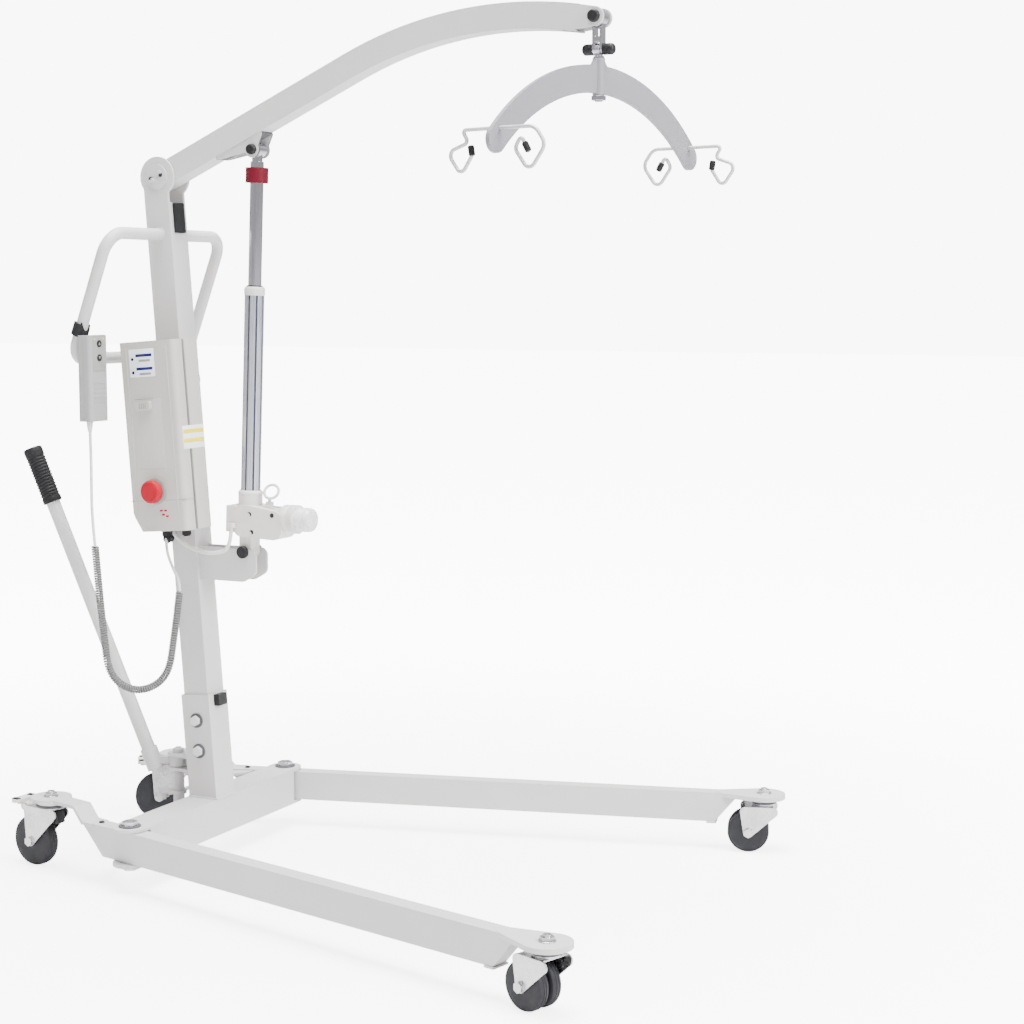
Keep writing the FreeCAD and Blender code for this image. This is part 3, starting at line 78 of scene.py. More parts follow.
def on_actuator(distance, x=0.0, y=0.0):
    """A point so many millimetres up the actuator from its foot, and beside it."""
    return ACTUATOR_FOOT + (ACTUATOR_RUN * distance + ACTUATOR_SIDE * x + Vector((0, y, 0))) / 1000


# ---- camera ----
def make_camera():
    data = bpy.data.cameras.new("camera")
    data.sensor_width, data.lens = 36.0, 70.54
    data.clip_start, data.clip_end = 0.1, 50.0
    camera = bpy.data.objects.new("camera", data)
    camera.location = at(2033.13, -2936.48, 1004.23)
    camera.rotation_euler = (math.radians(90 - 6.19), 0, math.radians(26.02))
    bpy.context.collection.objects.link(camera)
    bpy.context.scene.camera = camera


# ---- materials ----
def node_graph(name):
    """A new material with its node tree and its main shader."""
    material = bpy.data.materials.new(name)
    material.use_nodes = True
    tree = material.node_tree
    return material, tree, tree.nodes["Principled BSDF"]


def noise(tree, scale, detail=4.0, stretch=None):
    """A noise texture in object space; stretch makes it longer along some axes."""
    coordinates = tree.nodes.new("ShaderNodeTexCoord")
    texture = tree.nodes.new("ShaderNodeTexNoise")
    texture.inputs["Scale"].default_value = scale
    texture.inputs["Detail"].default_value = detail
    source = coordinates.outputs["Object"]
    if stretch:
        mapping = tree.nodes.new("ShaderNodeMapping")
        mapping.inputs["Scale"].default_value = stretch
        tree.links.new(source, mapping.inputs["Vector"])
        source = mapping.outputs["Vector"]
    tree.links.new(source, texture.inputs["Vector"])
    return texture.outputs["Fac"]


def spread(tree, value, low, high):
    """Maps the middle of a noise to a range."""
    node = tree.nodes.new("ShaderNodeMapRange")
    node.inputs["From Min"].default_value = 0.3
    node.inputs["From Max"].default_value = 0.7
    node.inputs["To Min"].default_value = low
    node.inputs["To Max"].default_value = high
    tree.links.new(value, node.inputs["Value"])
    return node.outputs["Result"]


def tinted(tree, value, dark, light):
    """Mixes two colours by a value."""
    ramp = tree.nodes.new("ShaderNodeMix")
    ramp.data_type = "RGBA"
    ramp.inputs["A"].default_value = (*dark, 1)
    ramp.inputs["B"].default_value = (*light, 1)
    tree.links.new(value, ramp.inputs["Factor"])
    return ramp.outputs["Result"]


def finish_surface(name, color, roughness, metallic=0.0, contrast=0.05, grain=400.0, grain_height=0.00004,
                   blotch=9.0, edge=0.0012, stretch=None, rough_spread=0.06, shine=0.5):
    """A finish with cloudy tint, uneven gloss, a fine grain and rounded edges; lengths in metres."""
    material, tree, surface = node_graph(name)
    cloud = noise(tree, blotch, 5.0, stretch)
    dark = [c * (1 - contrast) for c in color]
    light = [min(1.0, c * (1 + contrast)) for c in color]
    tree.links.new(tinted(tree, spread(tree, cloud, 0, 1), dark, light), surface.inputs["Base Color"])
    gloss = noise(tree, blotch * 6, 3.0, stretch)
    low, high = max(0.02, roughness - rough_spread), roughness + rough_spread
    tree.links.new(spread(tree, gloss, low, high), surface.inputs["Roughness"])
    surface.inputs["Metallic"].default_value = metallic
    surface.inputs["Specular IOR Level"].default_value = shine
    rounded = tree.nodes.new("ShaderNodeBevel")
    rounded.inputs["Radius"].default_value = edge
    bump = tree.nodes.new("ShaderNodeBump")
    bump.inputs["Distance"].default_value = grain_height
    bump.inputs["Strength"].default_value = 0.6
    tree.links.new(noise(tree, grain, 2.0, stretch), bump.inputs["Height"])
    tree.links.new(rounded.outputs["Normal"], bump.inputs["Normal"])
    tree.links.new(bump.outputs["Normal"], surface.inputs["Normal"])
    return material


def make_paints_and_metals():
    surface = finish_surface
    along = (8, 8, 0.2)       # the grain of a drawn tube runs up and down
    return {
        "coat": surface("powder_coat", (0.50, 0.488, 0.482), 0.42, contrast=0.025, grain=900, shine=0.4),
        "cool_coat": surface("cool_grey_coat", (0.21, 0.208, 0.23), 0.42, contrast=0.03, grain=900,
                             shine=0.35),
        # dark_coat is dark paint on real parts, and also painted shade on the boom bracket's front and on
        # the socket washers
        "dark_coat": surface("dark_grey_coat_and_painted_shade", (0.07, 0.07, 0.08), 0.5, contrast=0.1, grain=700, shine=0.3),
        "chrome": surface("chrome", (0.47, 0.465, 0.51), 0.12, 1.0, contrast=0.12, grain_height=0.000005,
                          blotch=30, stretch=(1, 1, 0.05), rough_spread=0.05),
        "zinc": surface("zinc_plate", (0.50, 0.50, 0.51), 0.30, 1.0, contrast=0.12, blotch=30,
                        rough_spread=0.1),
        "wire": surface("satin_wire", (0.50, 0.50, 0.52), 0.45, 0.35, contrast=0.06, blotch=60,
                        rough_spread=0.08, edge=0.0001),
        "aluminium": surface("extruded_aluminium", (0.50, 0.51, 0.57), 0.33, 1.0, contrast=0.06, grain=300,
                             stretch=along),
        "groove": surface("shaded_aluminium", (0.10, 0.10, 0.14), 0.5, 0.6, contrast=0.06, grain=300,
                          shine=0.3, stretch=along),
    }


def make_plastics():
    surface = finish_surface
    return {
        "black": surface("black_plastic", (0.008, 0.008, 0.009), 0.45, contrast=0.2, grain=1200,
                         shine=0.25),
        "rubber": surface("black_rubber", (0.007, 0.007, 0.008), 0.62, contrast=0.25, grain=1500,
                          grain_height=0.0001, shine=0.25),
        "case": surface("light_grey_plastic", (0.43, 0.415, 0.385), 0.42, contrast=0.03, grain=2200,
                        shine=0.4),
        # case_dark is dark plastic on seams, keypad, collar and fields, and also painted shade in the
        # recess behind the battery's catch
        "case_dark": surface("dark_grey_plastic_and_painted_shade", (0.24, 0.245, 0.23), 0.5, contrast=0.05, grain=2200,
                             shine=0.3),
        "white": surface("white_plastic", (0.60, 0.585, 0.565), 0.38, contrast=0.03, grain=1500, shine=0.4),
        "handset": surface("handset_plastic", (0.28, 0.285, 0.28), 0.45, contrast=0.04, grain=2000,
                           shine=0.4),
        "cable": surface("cable_sheath", (0.13, 0.132, 0.13), 0.5, contrast=0.08, grain=900, shine=0.35),
        "light_cable": surface("light_cable_sheath", (0.60, 0.60, 0.58), 0.45, contrast=0.05, grain=900),
        "dark_red": surface("dark_red_plastic", (0.10, 0.001, 0.010), 0.45, contrast=0.1, grain=1200,
                            shine=0.2),
        "red": surface("signal_red_plastic", (0.33, 0.001, 0.012), 0.4, contrast=0.06, grain=1200,
                       shine=0.2),
    }


def make_labels_and_wheels():
    surface = finish_surface
    return {
        "yellow": surface("yellow_label", (0.78, 0.60, 0.005), 0.5, contrast=0.05, grain=600, edge=0.0002,
                          shine=0.2),
        "paper": surface("label_white", (0.80, 0.82, 0.86), 0.38, contrast=0.02, grain=600, edge=0.0002),
        "ink": surface("label_blue", (0.008, 0.008, 0.09), 0.5, contrast=0.1, grain=600, edge=0.0002,
                       shine=0.2),
        "tyre": surface("tyre_grey", (0.012, 0.012, 0.015), 0.6, contrast=0.15, grain=900,
                        grain_height=0.0001, shine=0.3),
        "hub": surface("hub_grey", (0.34, 0.345, 0.37), 0.5, contrast=0.06, grain=1200, shine=0.35),
        "web": surface("wheel_web_grey", (0.17, 0.174, 0.20), 0.55, contrast=0.08, grain=1200, shine=0.35),
        "clear": clear_plastic(),
    }


def make_materials():
    return {**make_paints_and_metals(), **make_plastics(), **make_labels_and_wheels()}


def clear_plastic():
    """The milky cover of the motor."""
    material, tree, surface = node_graph("milky_plastic")
    cloud = noise(tree, 30, 4.0)
    tree.links.new(tinted(tree, spread(tree, cloud, 0, 1), (0.86, 0.86, 0.85), (0.95, 0.95, 0.94)),
                   surface.inputs["Base Color"])
    tree.links.new(spread(tree, noise(tree, 90, 3.0), 0.22, 0.36), surface.inputs["Roughness"])
    surface.inputs["Transmission Weight"].default_value = 0.35
    surface.inputs["Subsurface Weight"].default_value = 0.3
    surface.inputs["Subsurface Radius"].default_value = (0.004, 0.004, 0.004)
    return material


# ---- mesh tools ----
def add_object(name, data, material, body=None):
    """Puts a mesh or curve in the scene, with its finish and the body that it rides on."""
    piece = bpy.data.objects.new(name, data)
    bpy.context.collection.objects.link(piece)
    if material is not None:
        data.materials.append(material)
    if body:
        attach(piece, body)
    return piece


def smooth(piece, angle=35.0):
    """Shades gentle bends smooth and keeps real corners sharp."""
    mesh = bmesh.new()
    mesh.from_mesh(piece.data)
    for face in mesh.faces:
        face.smooth = True
    for edge in mesh.edges:
        edge.smooth = edge.calc_face_angle(0.0) < math.radians(angle)
    mesh.to_mesh(piece.data)
    mesh.free()


def frame_of(axis):
    """A rotation whose Z is the given direction."""
    return axis.to_track_quat("Z", "Y").to_matrix().to_4x4()


def lathe(name, profile, centre, axis, material, body, segments=64):
    """A round piece: profile is a list of (radius, height) in millimetres along the axis."""
    mesh = bmesh.new()
    rings = []
    for radius, height in profile:
        ring = []
        for i in range(segments):
            angle = 2 * math.pi * i / segments
            ring.append(mesh.verts.new((radius * math.cos(angle) / 1000, radius * math.sin(angle) / 1000,
                                        height / 1000)))
        rings.append(ring)
    for low, high in zip(rings, rings[1:]):
        for i in range(segments):
            j = (i + 1) % segments
            mesh.faces.new((low[i], low[j], high[j], high[i]))
    mesh.faces.new(list(reversed(rings[0])))
    mesh.faces.new(rings[-1])
    bmesh.ops.recalc_face_normals(mesh, faces=mesh.faces)
    mesh.transform(Matrix.Translation(centre) @ frame_of(axis))
    data = bpy.data.meshes.new(name)
    mesh.to_mesh(data)
    mesh.free()
    piece = add_object(name, data, material, body)
    smooth(piece)
    return piece


def block(name, centre, size, material, body, turn=None, bevel=1.0):
    """A box with rounded edges; size and bevel in millimetres, turned by a matrix about its centre."""
    mesh = bmesh.new()
    bmesh.ops.create_cube(mesh, size=1.0)
    mesh.transform(Matrix.Diagonal((*[s / 1000 for s in size], 1)))
    edges = mesh.edges[:]
    bmesh.ops.bevel(mesh, geom=edges, offset=bevel / 1000, segments=3, affect="EDGES", profile=0.5)
    if turn is not None:
        mesh.transform(turn)
    mesh.transform(Matrix.Translation(centre))
    data = bpy.data.meshes.new(name)
    mesh.to_mesh(data)
    mesh.free()
    piece = add_object(name, data, material, body)
    smooth(piece)
    return piece


def joined(name, pieces):
    """Several meshes of one body made into one piece."""
    mesh = bmesh.new()
    slots = []
    for piece in pieces:
        before = len(mesh.faces)
        mesh.from_mesh(piece.data)
        mesh.faces.ensure_lookup_table()
        material = piece.data.materials[0]
        if material not in slots:
            slots.append(material)
        for face in mesh.faces[before:]:
            face.material_index = slots.index(material)
    data = bpy.data.meshes.new(name)
    mesh.to_mesh(data)
    mesh.free()
    for material in slots:
        data.materials.append(material)
    for piece in pieces:
        bpy.data.objects.remove(piece)
    whole = bpy.data.objects.new(name, data)
    bpy.context.collection.objects.link(whole)
    return whole


def paint(node, material):
    """Gives a CAD node one finish all over."""
    mesh = frame["nodes"][node].data
    mesh.materials.clear()
    mesh.materials.append(material)
    for face in mesh.polygons:
        face.material_index = 0


def paint_where(node, material, test):
    """Gives a second finish to the faces whose centre and normal pass the test."""
    mesh = frame["nodes"][node].data
    mesh.materials.append(material)
    for face in mesh.polygons:
        if test(face.center, face.normal):
            face.material_index = len(mesh.materials) - 1


LEAN_TURN = Matrix.Rotation(-MAST_LEAN, 4, "Y")


# ---- cords ----
CABLE_R, COIL_R, LEAD_R = 2.6, 7.0, 3.5
COIL_WIRE_R = 2.0
COIL_PITCH = 4.3
RELIEF_END = 771.0
CABLE_TOP_ROUTE = [(-117, -176, RELIEF_END + 8), (-116, -176, 733), (-118, -174, 678), (-120, -172, 625),
                   (-117, -169, 572)]
COIL_ROUTE = [(-117, -169, 572), (-115, -166, 520), (-113, -162, 465), (-110, -158, 410), (-108, -153, 357),
              (-88, -148, 330), (-56, -138, 319), (-24, -126, 330), (-4, -117, 357), (-1, -108, 405),
              (1, -99, 450), (2, -92, 490)]
TAIL_ROUTE = [(2, -92, 490), (2, -90, 508), (-20, -81, 532), (-40, -71, 562), (-44.5, -63, 592)]
LEAD_ROUTE = [(70, -30.6, 600), (69, -31, 564), (39, -34, 553), (5, -36, 555), (-28, -38, 568),
              (-54, -38, 592)]


def nurbs(name, route, radius):
    """A cord along its route; the first and last points are where it starts and ends."""
    data = bpy.data.curves.new(name, "CURVE")
    data.dimensions = "3D"
    data.bevel_depth = radius / 1000
    data.bevel_resolution = 6
    data.use_fill_caps = True
    spline = data.splines.new("NURBS")
    spline.points.add(len(route) - 1)
    for point, place in zip(spline.points, route):
        point.co = (*at(*place), 1)
    spline.order_u = 3
    spline.use_endpoint_u = True
    spline.resolution_u = 24
    return bpy.data.objects.new(name, data)


def sampled(route):
    """Points close together along a route's own line."""
    guide = nurbs("guide", route, 0)
    bpy.context.collection.objects.link(guide)
    bpy.context.view_layer.update()
    mesh = bpy.data.meshes.new_from_object(guide)
    points = [v.co.copy() for v in mesh.vertices]
    bpy.data.objects.remove(guide)
    return points


def length_of(points):
    """The length of a line through points, in metres."""
    return sum((b - a).length for a, b in zip(points, points[1:]))


def plain_cord(name, route, radius, material, node):
    """A smooth cord in place of its CAD tube."""
    cord = nurbs(name, route, radius)
    bpy.context.collection.objects.link(cord)
    cord.data.materials.append(material)
    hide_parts(node)
    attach(cord, "base")
    return cord


def helix_points(line, radius, pitch):
    """A helix around a sampled line, with its frame carried along so that it never twists back."""
    steps_per_turn = 14
    total = length_of(line)
    count = int(total / pitch * steps_per_turn)
    normal = (line[1] - line[0]).orthogonal().normalized()
    points = []
    index, walked = 0, 0.0
    for k in range(count + 1):
        wanted = total * k / count
        while index < len(line) - 2 and walked + (line[index + 1] - line[index]).length < wanted:
            walked += (line[index + 1] - line[index]).length
            index += 1
        step = line[index + 1] - line[index]
        tangent = step.normalized()
        centre = line[index] + tangent * (wanted - walked)
        normal = (normal - tangent * normal.dot(tangent)).normalized()
        side = tangent.cross(normal)
        angle = 2 * math.pi * k / steps_per_turn
        points.append(centre + (normal * math.cos(angle) + side * math.sin(angle)) * radius)
    return points


def curly_cord(name, route, material, node):
    """The curly part of the handset's cable."""
    line = sampled(route)
    points = helix_points(line, (COIL_R - COIL_WIRE_R) / 1000, COIL_PITCH / 1000)
    data = bpy.data.curves.new(name, "CURVE")
    data.dimensions = "3D"
    data.bevel_depth = COIL_WIRE_R / 1000
    data.bevel_resolution = 2
    data.use_fill_caps = True
    spline = data.splines.new("POLY")
    spline.points.add(len(points) - 1)
    for point, place in zip(spline.points, points):
        point.co = (*place, 1)
    coil = add_object(name, data, material)
    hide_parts(node)
    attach(coil, "base")
    return coil, points


def make_cords(m):
    top = plain_cord("handset_cable_top", CABLE_TOP_ROUTE, CABLE_R, m["light_cable"], "cable_top")
    tail = plain_cord("handset_cable_tail", TAIL_ROUTE, CABLE_R, m["light_cable"], "cable_tail")
    coil, turns = curly_cord("handset_cable_coil", COIL_ROUTE, m["cable"], "cable_coil")
    lead = plain_cord("motor_lead_cord", LEAD_ROUTE, LEAD_R, m["light_cable"], "motor_lead")
    top_length = length_of(sampled(CABLE_TOP_ROUTE))
    tail_length = length_of(sampled(TAIL_ROUTE))
    lead_length = length_of(sampled(LEAD_ROUTE))


# ---- CAD nodes keep their shape and take these finishes ----
FINISHES = {
    "coat": ("cross_beam", "mast_socket", "mast_tube", "push_handle", "actuator_bracket", "leg_left",
             "leg_right", "boom_tube", "boom_bracket", "lever_tube", "tie_rod_left", "tie_rod_right",
             "crank_shaft", "boom_pivot_pin"),
    "cool_coat": ("spreader_plate",),
    "chrome": ("hanger_link", "swivel_bolt", "piston_rod", "hanger_cross_bolt"),
    "zinc": ("frame_bolts", "left_castor_stems", "right_castor_stems", "front_left_fork",
             "front_right_fork", "rear_left_fork", "rear_right_fork"),
    "wire": ("sling_bar_left", "sling_bar_right"),
    "black": ("socket_knob", "actuator_foot_pins", "boom_pins", "hook_tips", "handset_hook", "button_up",
              "button_down"),
    "rubber": ("mast_bumper",),
    "case": ("control_box", "battery_pack", "battery_catch"),
    "white": ("gear_housing", "lowering_ring", "cable_glands", "rear_left_pedal", "rear_right_pedal"),
    "handset": ("handset_case",),
    "dark_red": ("rod_collar",),
    "red": ("stop_button",),
}


KNOB_INNER_END = 0.0085  # the hanger bolt is bare between its two black caps
NUT_START, NUT_END = 0.031, 0.060  # how far from the middle the mast socket's capped nuts reach
SHARP_CORNER, SHARP_WIRE_CORNER = 30, 75


def paint_nodes(m):
    """Finishes on whole nodes, then second finishes and painted shade on some of their faces."""
    for finish, nodes in FINISHES.items():
        for node in nodes:
            paint(node, m[finish])
            smooth_cad(node, SHARP_WIRE_CORNER if finish == "wire" else SHARP_CORNER)
    centre_x = at(HANGER_X, 0, 0).x
    paint_where("hanger_cross_bolt", m["black"], lambda p, n: abs(p.x - centre_x) > KNOB_INNER_END)
    box_floor = BOX_LOW / 1000 - 0.0005
    paint_where("control_box", m["black"], lambda p, n: height_on_mast(p) < box_floor)
    # Painted shade: the boom bracket's forward-facing faces go dark grey for the shade inside its open
    # front.
    paint_where("boom_bracket", m["dark_coat"], lambda p, n: n.x > 0.4)
    paint_where("frame_bolts", m["white"], lambda p, n: NUT_START < abs(p.y) < NUT_END)


def height_on_mast(p):
    """How far up the leaning mast a point of the row frame is, in metres."""
    foot = at(0, 0, BEAM_TOP)
    return (p - foot).dot(Vector((-math.sin(MAST_LEAN), 0, math.cos(MAST_LEAN))))


def smooth_cad(node, corner):
    """Smooth shading on a CAD node, with corners over so many degrees kept sharp; no point moves."""
    mesh = frame["nodes"][node].data
    for face in mesh.polygons:
        face.use_smooth = True
    mesh.set_sharp_from_angle(angle=math.radians(corner))


# ---- wheels ----
FRONT_R, REAR_R, FRONT_TREAD, REAR_TREAD, TWIN_GAP = 37.5, 45.0, 20.0, 22.0, 5.0


def make_wheel(m, node, radius, width, offset):
    """Tyre with a crowned tread and two grooves, a lighter hub ring, a dished web and six bosses."""
    joint = JOINTS[node + "_spin"]
    axis = Vector(joint["axis"]).normalized()
    centre = Vector(joint["pos_m"]) + axis * offset / 1000
    half = width / 2
    rim = radius * 0.72
    tread = [(rim, -half), (radius - 5, -half), (radius - 1.5, -half + 2), (radius - 0.3, -half + 5),
             (radius, -3.2), (radius - 1, -2.6), (radius - 1, -2.0), (radius, -1.4), (radius, 1.4),
             (radius - 1, 2.0), (radius - 1, 2.6), (radius, 3.2), (radius - 0.3, half - 5),
             (radius - 1.5, half - 2), (radius - 5, half), (rim, half)]
    tyre = lathe(node + "_tyre", tread, centre, axis, m["tyre"], None)
    ring = [(rim - 4, -half + 1.5), (rim, -half + 0.3), (rim, half - 0.3), (rim - 4, half - 1.5)]
    hub_ring = lathe(node + "_ring", ring, centre, axis, m["hub"], None)
    web = [(5.1, -half + 0.2), (11, -half + 0.2), (12, -half + 3), (rim - 3.5, -half + 4),
           (rim - 3.5, half - 4), (12, half - 3), (11, half - 0.2), (5.1, half - 0.2)]
    hub = lathe(node + "_web", web, centre, axis, m["web"], None)
    bosses = []
    for k in range(6):
        turn = Matrix.Rotation(math.pi * k / 3, 4, axis)
        spoke = turn @ axis.orthogonal().normalized() * (rim * 0.62 / 1000)
        ends = [(3.0, -half + 2.6), (3.0, half - 2.6)]
        bosses.append(lathe(node + f"_boss{k}", ends, centre + spoke, axis, m["hub"], None, 16))
    whole = joined(node + "_detail", [tyre, hub_ring, hub, *bosses])
    smooth(whole)
    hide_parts(node)
    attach(whole, node)


def make_wheels(m):
    for side in ("left", "right"):
        offset = (TWIN_GAP + FRONT_TREAD) / 2
        make_wheel(m, f"front_{side}_wheel_a", FRONT_R, FRONT_TREAD, offset)
        make_wheel(m, f"front_{side}_wheel_b", FRONT_R, FRONT_TREAD, -offset)
        make_wheel(m, f"rear_{side}_wheel", REAR_R, REAR_TREAD, 0)


# ---- actuator ----
TUBE_R, GROOVE_DEPTH, FINE_GROOVE_DEPTH = 17.0, 2.2, 0.6
TUBE_START, TUBE_END = 104.0, 448.0


def make_outer_tube(m):
    """The extruded tube, grooved along its length, with its end cap, rod wiper and lower flange."""
    grooves = 8
    steps = 12
    mesh = bmesh.new()
    rings = []
    for distance in (TUBE_START, TUBE_END):
        ring = []
        for i in range(grooves * steps):
            angle = 2 * math.pi * i / (grooves * steps)
            radius = TUBE_R
            if i % steps in (0, 1):
                radius -= GROOVE_DEPTH
            elif i % steps == 6:
                radius -= FINE_GROOVE_DEPTH
            place = on_actuator(distance, radius * math.cos(angle), radius * math.sin(angle))
            ring.append(mesh.verts.new(place))
        rings.append(ring)
    count = len(rings[0])
    for i in range(count):
        j = (i + 1) % count
        side = mesh.faces.new((rings[0][i], rings[0][j], rings[1][j], rings[1][i]))
        side.material_index = 1 if i % steps in (0, 1, steps - 1) else 0
    mesh.faces.new(rings[1])
    mesh.faces.new(list(reversed(rings[0])))
    bmesh.ops.recalc_face_normals(mesh, faces=mesh.faces)
    data = bpy.data.meshes.new("tube_extrusion")
    mesh.to_mesh(data)
    mesh.free()
    tube = add_object("tube_extrusion", data, m["aluminium"], None)
    data.materials.append(m["groove"])
    smooth(tube, 25)
    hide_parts("outer_tube")
    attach(tube, "actuator")
    cap = [(11.6, 446), (17.4, 446), (18.0, 447), (18.0, 457), (17.0, 459.5), (15.5, 461), (11.6, 461)]
    lathe("tube_end_cap", cap, ACTUATOR_FOOT, ACTUATOR_RUN, m["white"], "actuator")
    wiper = [(11.6, 461), (14.0, 461), (13.4, 463), (11.6, 463)]
    lathe("rod_wiper", wiper, ACTUATOR_FOOT, ACTUATOR_RUN, m["black"], "actuator")
    flange = [(17.2, 101), (21.5, 101), (21.5, 104), (20.5, 106), (18.5, 108), (17.2, 108)]
    lathe("tube_flange", flange, ACTUATOR_FOOT, ACTUATOR_RUN, m["white"], "actuator")


def make_motor(m):
    """The motor's adaptor ring and its milky cover."""
    start = on_actuator(62, 58)
    axis = (on_actuator(64, 97) - start).normalized()
    adaptor = [(10, 14), (24.0, 14), (25.0, 16), (25.0, 27), (24.3, 28), (24.3, 30), (25.0, 31), (25.0, 42),
               (22.0, 43.5), (10, 43.5)]
    ring = lathe("motor_adaptor", adaptor, start, axis, m["white"], None)
    cover = [(10, 42), (21.0, 42), (21.0, 58), (20.4, 59), (20.4, 61), (21.0, 62), (20.6, 66), (18.8, 69.5),
             (15.5, 71), (6.0, 71.5)]
    shell = lathe("motor_cover", cover, start, axis, m["clear"], None)
    whole = joined("motor_detail", [ring, shell])
    smooth(whole)
    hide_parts("motor_housing")
    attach(whole, "actuator")


def make_gearbox_details(m):
    """Cover screws, the two ribs on the gearbox and the plate on its rear."""
    head = [(4.2, -1), (4.2, 0.4), (3.4, 1.2), (1.2, 1.2)]
    for k, (distance, x) in enumerate(((68, 14), (37, 19), (70, 60))):
        lathe(f"gearbox_screw_{k}", head, on_actuator(distance, x, -24), NEAR, m["black"], "actuator", 24)
    for side, y in (("near", -12), ("far", 12)):
        place = on_actuator(80, 0, 0) + Vector((0.026, y / 1000, -0.001))
        block(f"gearbox_rib_{side}", place, (62, 2.0, 2.4), m["white"], "actuator", None, 0.6)
    plate = on_actuator(56, -34.2, -2)
    block("gearbox_rear_plate", plate, (1.6, 34, 34), m["case"], "actuator", None, 0.7)


# ---- control box ----
def on_box_face(x, up, depth=0.0):
    """A point on the control box's near face, or so much in front of it."""
    return on_mast(x, BOX_FRONT_Y - depth, up)


def box_plate(name, place, size, material, bevel=0.2, body="base"):
    """A small block that leans with the mast, as the control box does."""
    return block(name, place, size, material, body, LEAN_TURN, bevel)


def make_status_label(m):
    """The white label with its two bars, text fields and lights; no lettering."""
    box_plate("status_label", on_box_face(0, 778, 0.2), (52, 0.8, 48), m["paper"], 0.3)
    for k, up in enumerate((791, 768)):
        box_plate(f"label_bar_{k}", on_box_face(5, up, 0.7), (34, 0.5, 5), m["ink"])
        box_plate(f"label_field_{k}", on_box_face(6, up - 9, 0.7), (24, 0.5, 4), m["case_dark"])
        dome = [(2.6, 0), (2.6, 1.0), (1.2, 1.8)]
        lathe(f"status_light_{k}", dome, on_box_face(-19, up - 6, 0.4), NEAR, m["ink"], "base", 24)


def make_catch_details(m):
    """The painted shade of the recess behind the battery's catch, and the catch's grip ribs."""
    # Painted shade: a thin dark plate on the box face where the recess behind the catch lies in shade.
    box_plate("catch_recess_shade", on_box_face(-1, 704, 0.05), (38, 0.6, 24), m["case_dark"])
    for k in range(4):
        place = on_box_face(-6 + 4 * k, 704, 8.4)
        box_plate(f"catch_grip_{k}", place, (1.4, 1.2, 10), m["case_dark"], 0.4, "battery_catch")


def make_stop_details(m):
    """The collar round the stop button, the ring on the button and the red marks below."""
    collar = [(8.5, -0.5), (23, -0.5), (23, 1.0), (21.5, 2.0), (8.5, 2.0)]
    lathe("stop_collar", collar, on_box_face(STOP_X, STOP_UP), NEAR, m["case_dark"], "base")
    ring = [(12.5, 19.6), (13.5, 19.6), (13.5, 20.4), (12.5, 20.4)]
    lathe("stop_button_ring", ring, on_box_face(STOP_X, STOP_UP), NEAR, m["red"], "stop_button")
    for k, (x, up) in enumerate(((16, 522), (25, 522), (20, 515), (28, 512))):
        box_plate(f"red_mark_{k}", on_box_face(x, up, 0.2), (6, 0.5, 3.2), m["red"])


def make_side_label(m):
    """The white label with two yellow stripes on the box's forward face."""
    for k, up in enumerate((656, 640)):
        box_plate(f"yellow_stripe_{k}", on_mast(BOX_FRONT_X + 0.2, -66, up), (0.8, 60, 7), m["yellow"])
    box_plate("side_label", on_mast(BOX_FRONT_X + 0.05, -66, 646), (0.5, 62, 40), m["paper"])


def make_cover_details(m):
    """The ribs, the raised panel and the seams of the two housings, and the clamp on the mast."""
    for k, x in enumerate((-32, 52)):
        box_plate(f"cover_rib_{k}", on_box_face(x, 660, 0.1), (2.0, 1.6, 290), m["case"], 0.7)
    box_plate("cover_panel", on_box_face(4, 655, 0.0), (58, 1.2, 120), m["case"], 0.6)
    box_plate("cover_seam", on_mast(10, -90, 540), (116.6, 30.4, 0.8), m["case_dark"])
    box_plate("battery_seam", on_mast(10, BOX_SEAM_Y, 650.5), (116.4, 0.9, 328), m["case_dark"], 0.3)
    box_plate("mast_clamp_upper", on_mast(0, 0, 745), (54, 54, 12), m["coat"], 1.0)


def make_socket_plugs(m):
    """Two cable plugs and one closed socket under the box."""
    down = Vector((math.sin(MAST_LEAN), 0, -math.cos(MAST_LEAN)))
    plug = [(4.5, 12), (6.2, 12), (7.0, 14), (7.0, 19), (4.0, 24), (2.8, 25)]
    closed = [(3.0, 12), (5.5, 12), (5.5, 14), (3.0, 14)]
    for k, (x, y, profile) in enumerate(((-8, -62, plug), (-18, -38, plug), (26, -50, closed))):
        lathe(f"socket_plug_{k}", profile, on_mast(x, y, BOX_LOW), down, m["black"], "base", 32)


def make_control_box_details(m):
    make_status_label(m)
    make_catch_details(m)
    make_stop_details(m)
    make_side_label(m)
    make_cover_details(m)
    make_socket_plugs(m)


# ---- handset ----
def make_handset_details(m):
    """The keypad, its arrows and lights, the seam of the two shells and the ribs below the keys."""
    face_x = HANDSET_X + 14
    keypad = at(face_x + 0.05, HANDSET_Y, 905)
    block("handset_keypad", keypad, (0.8, 34, 62), m["case_dark"], "base", None, 0.3)
    for name, z, flip in (("button_up", 921, 1), ("button_down", 897, -1)):
        arrow(f"{name}_arrow", at(HANDSET_X + 15.6, HANDSET_Y, z), 2.4, flip, m["case_dark"], name)
    seam = at(HANDSET_X, HANDSET_Y, 862)
    block("handset_seam", seam, (0.9, 50.6, 144), m["case_dark"], "base", None, 0.3)
    for k, y in enumerate((-12, 12)):
        light = at(face_x + 0.5, HANDSET_Y + y, 929)
        block(f"handset_light_{k}", light, (0.8, 4, 2), m["yellow"], "base", None, 0.3)
    for k in range(5):
        rib = at(face_x + 0.1, HANDSET_Y, 822 + 8 * k)
        block(f"handset_rib_{k}", rib, (1.2, 30, 2), m["handset"], "base", None, 0.5)


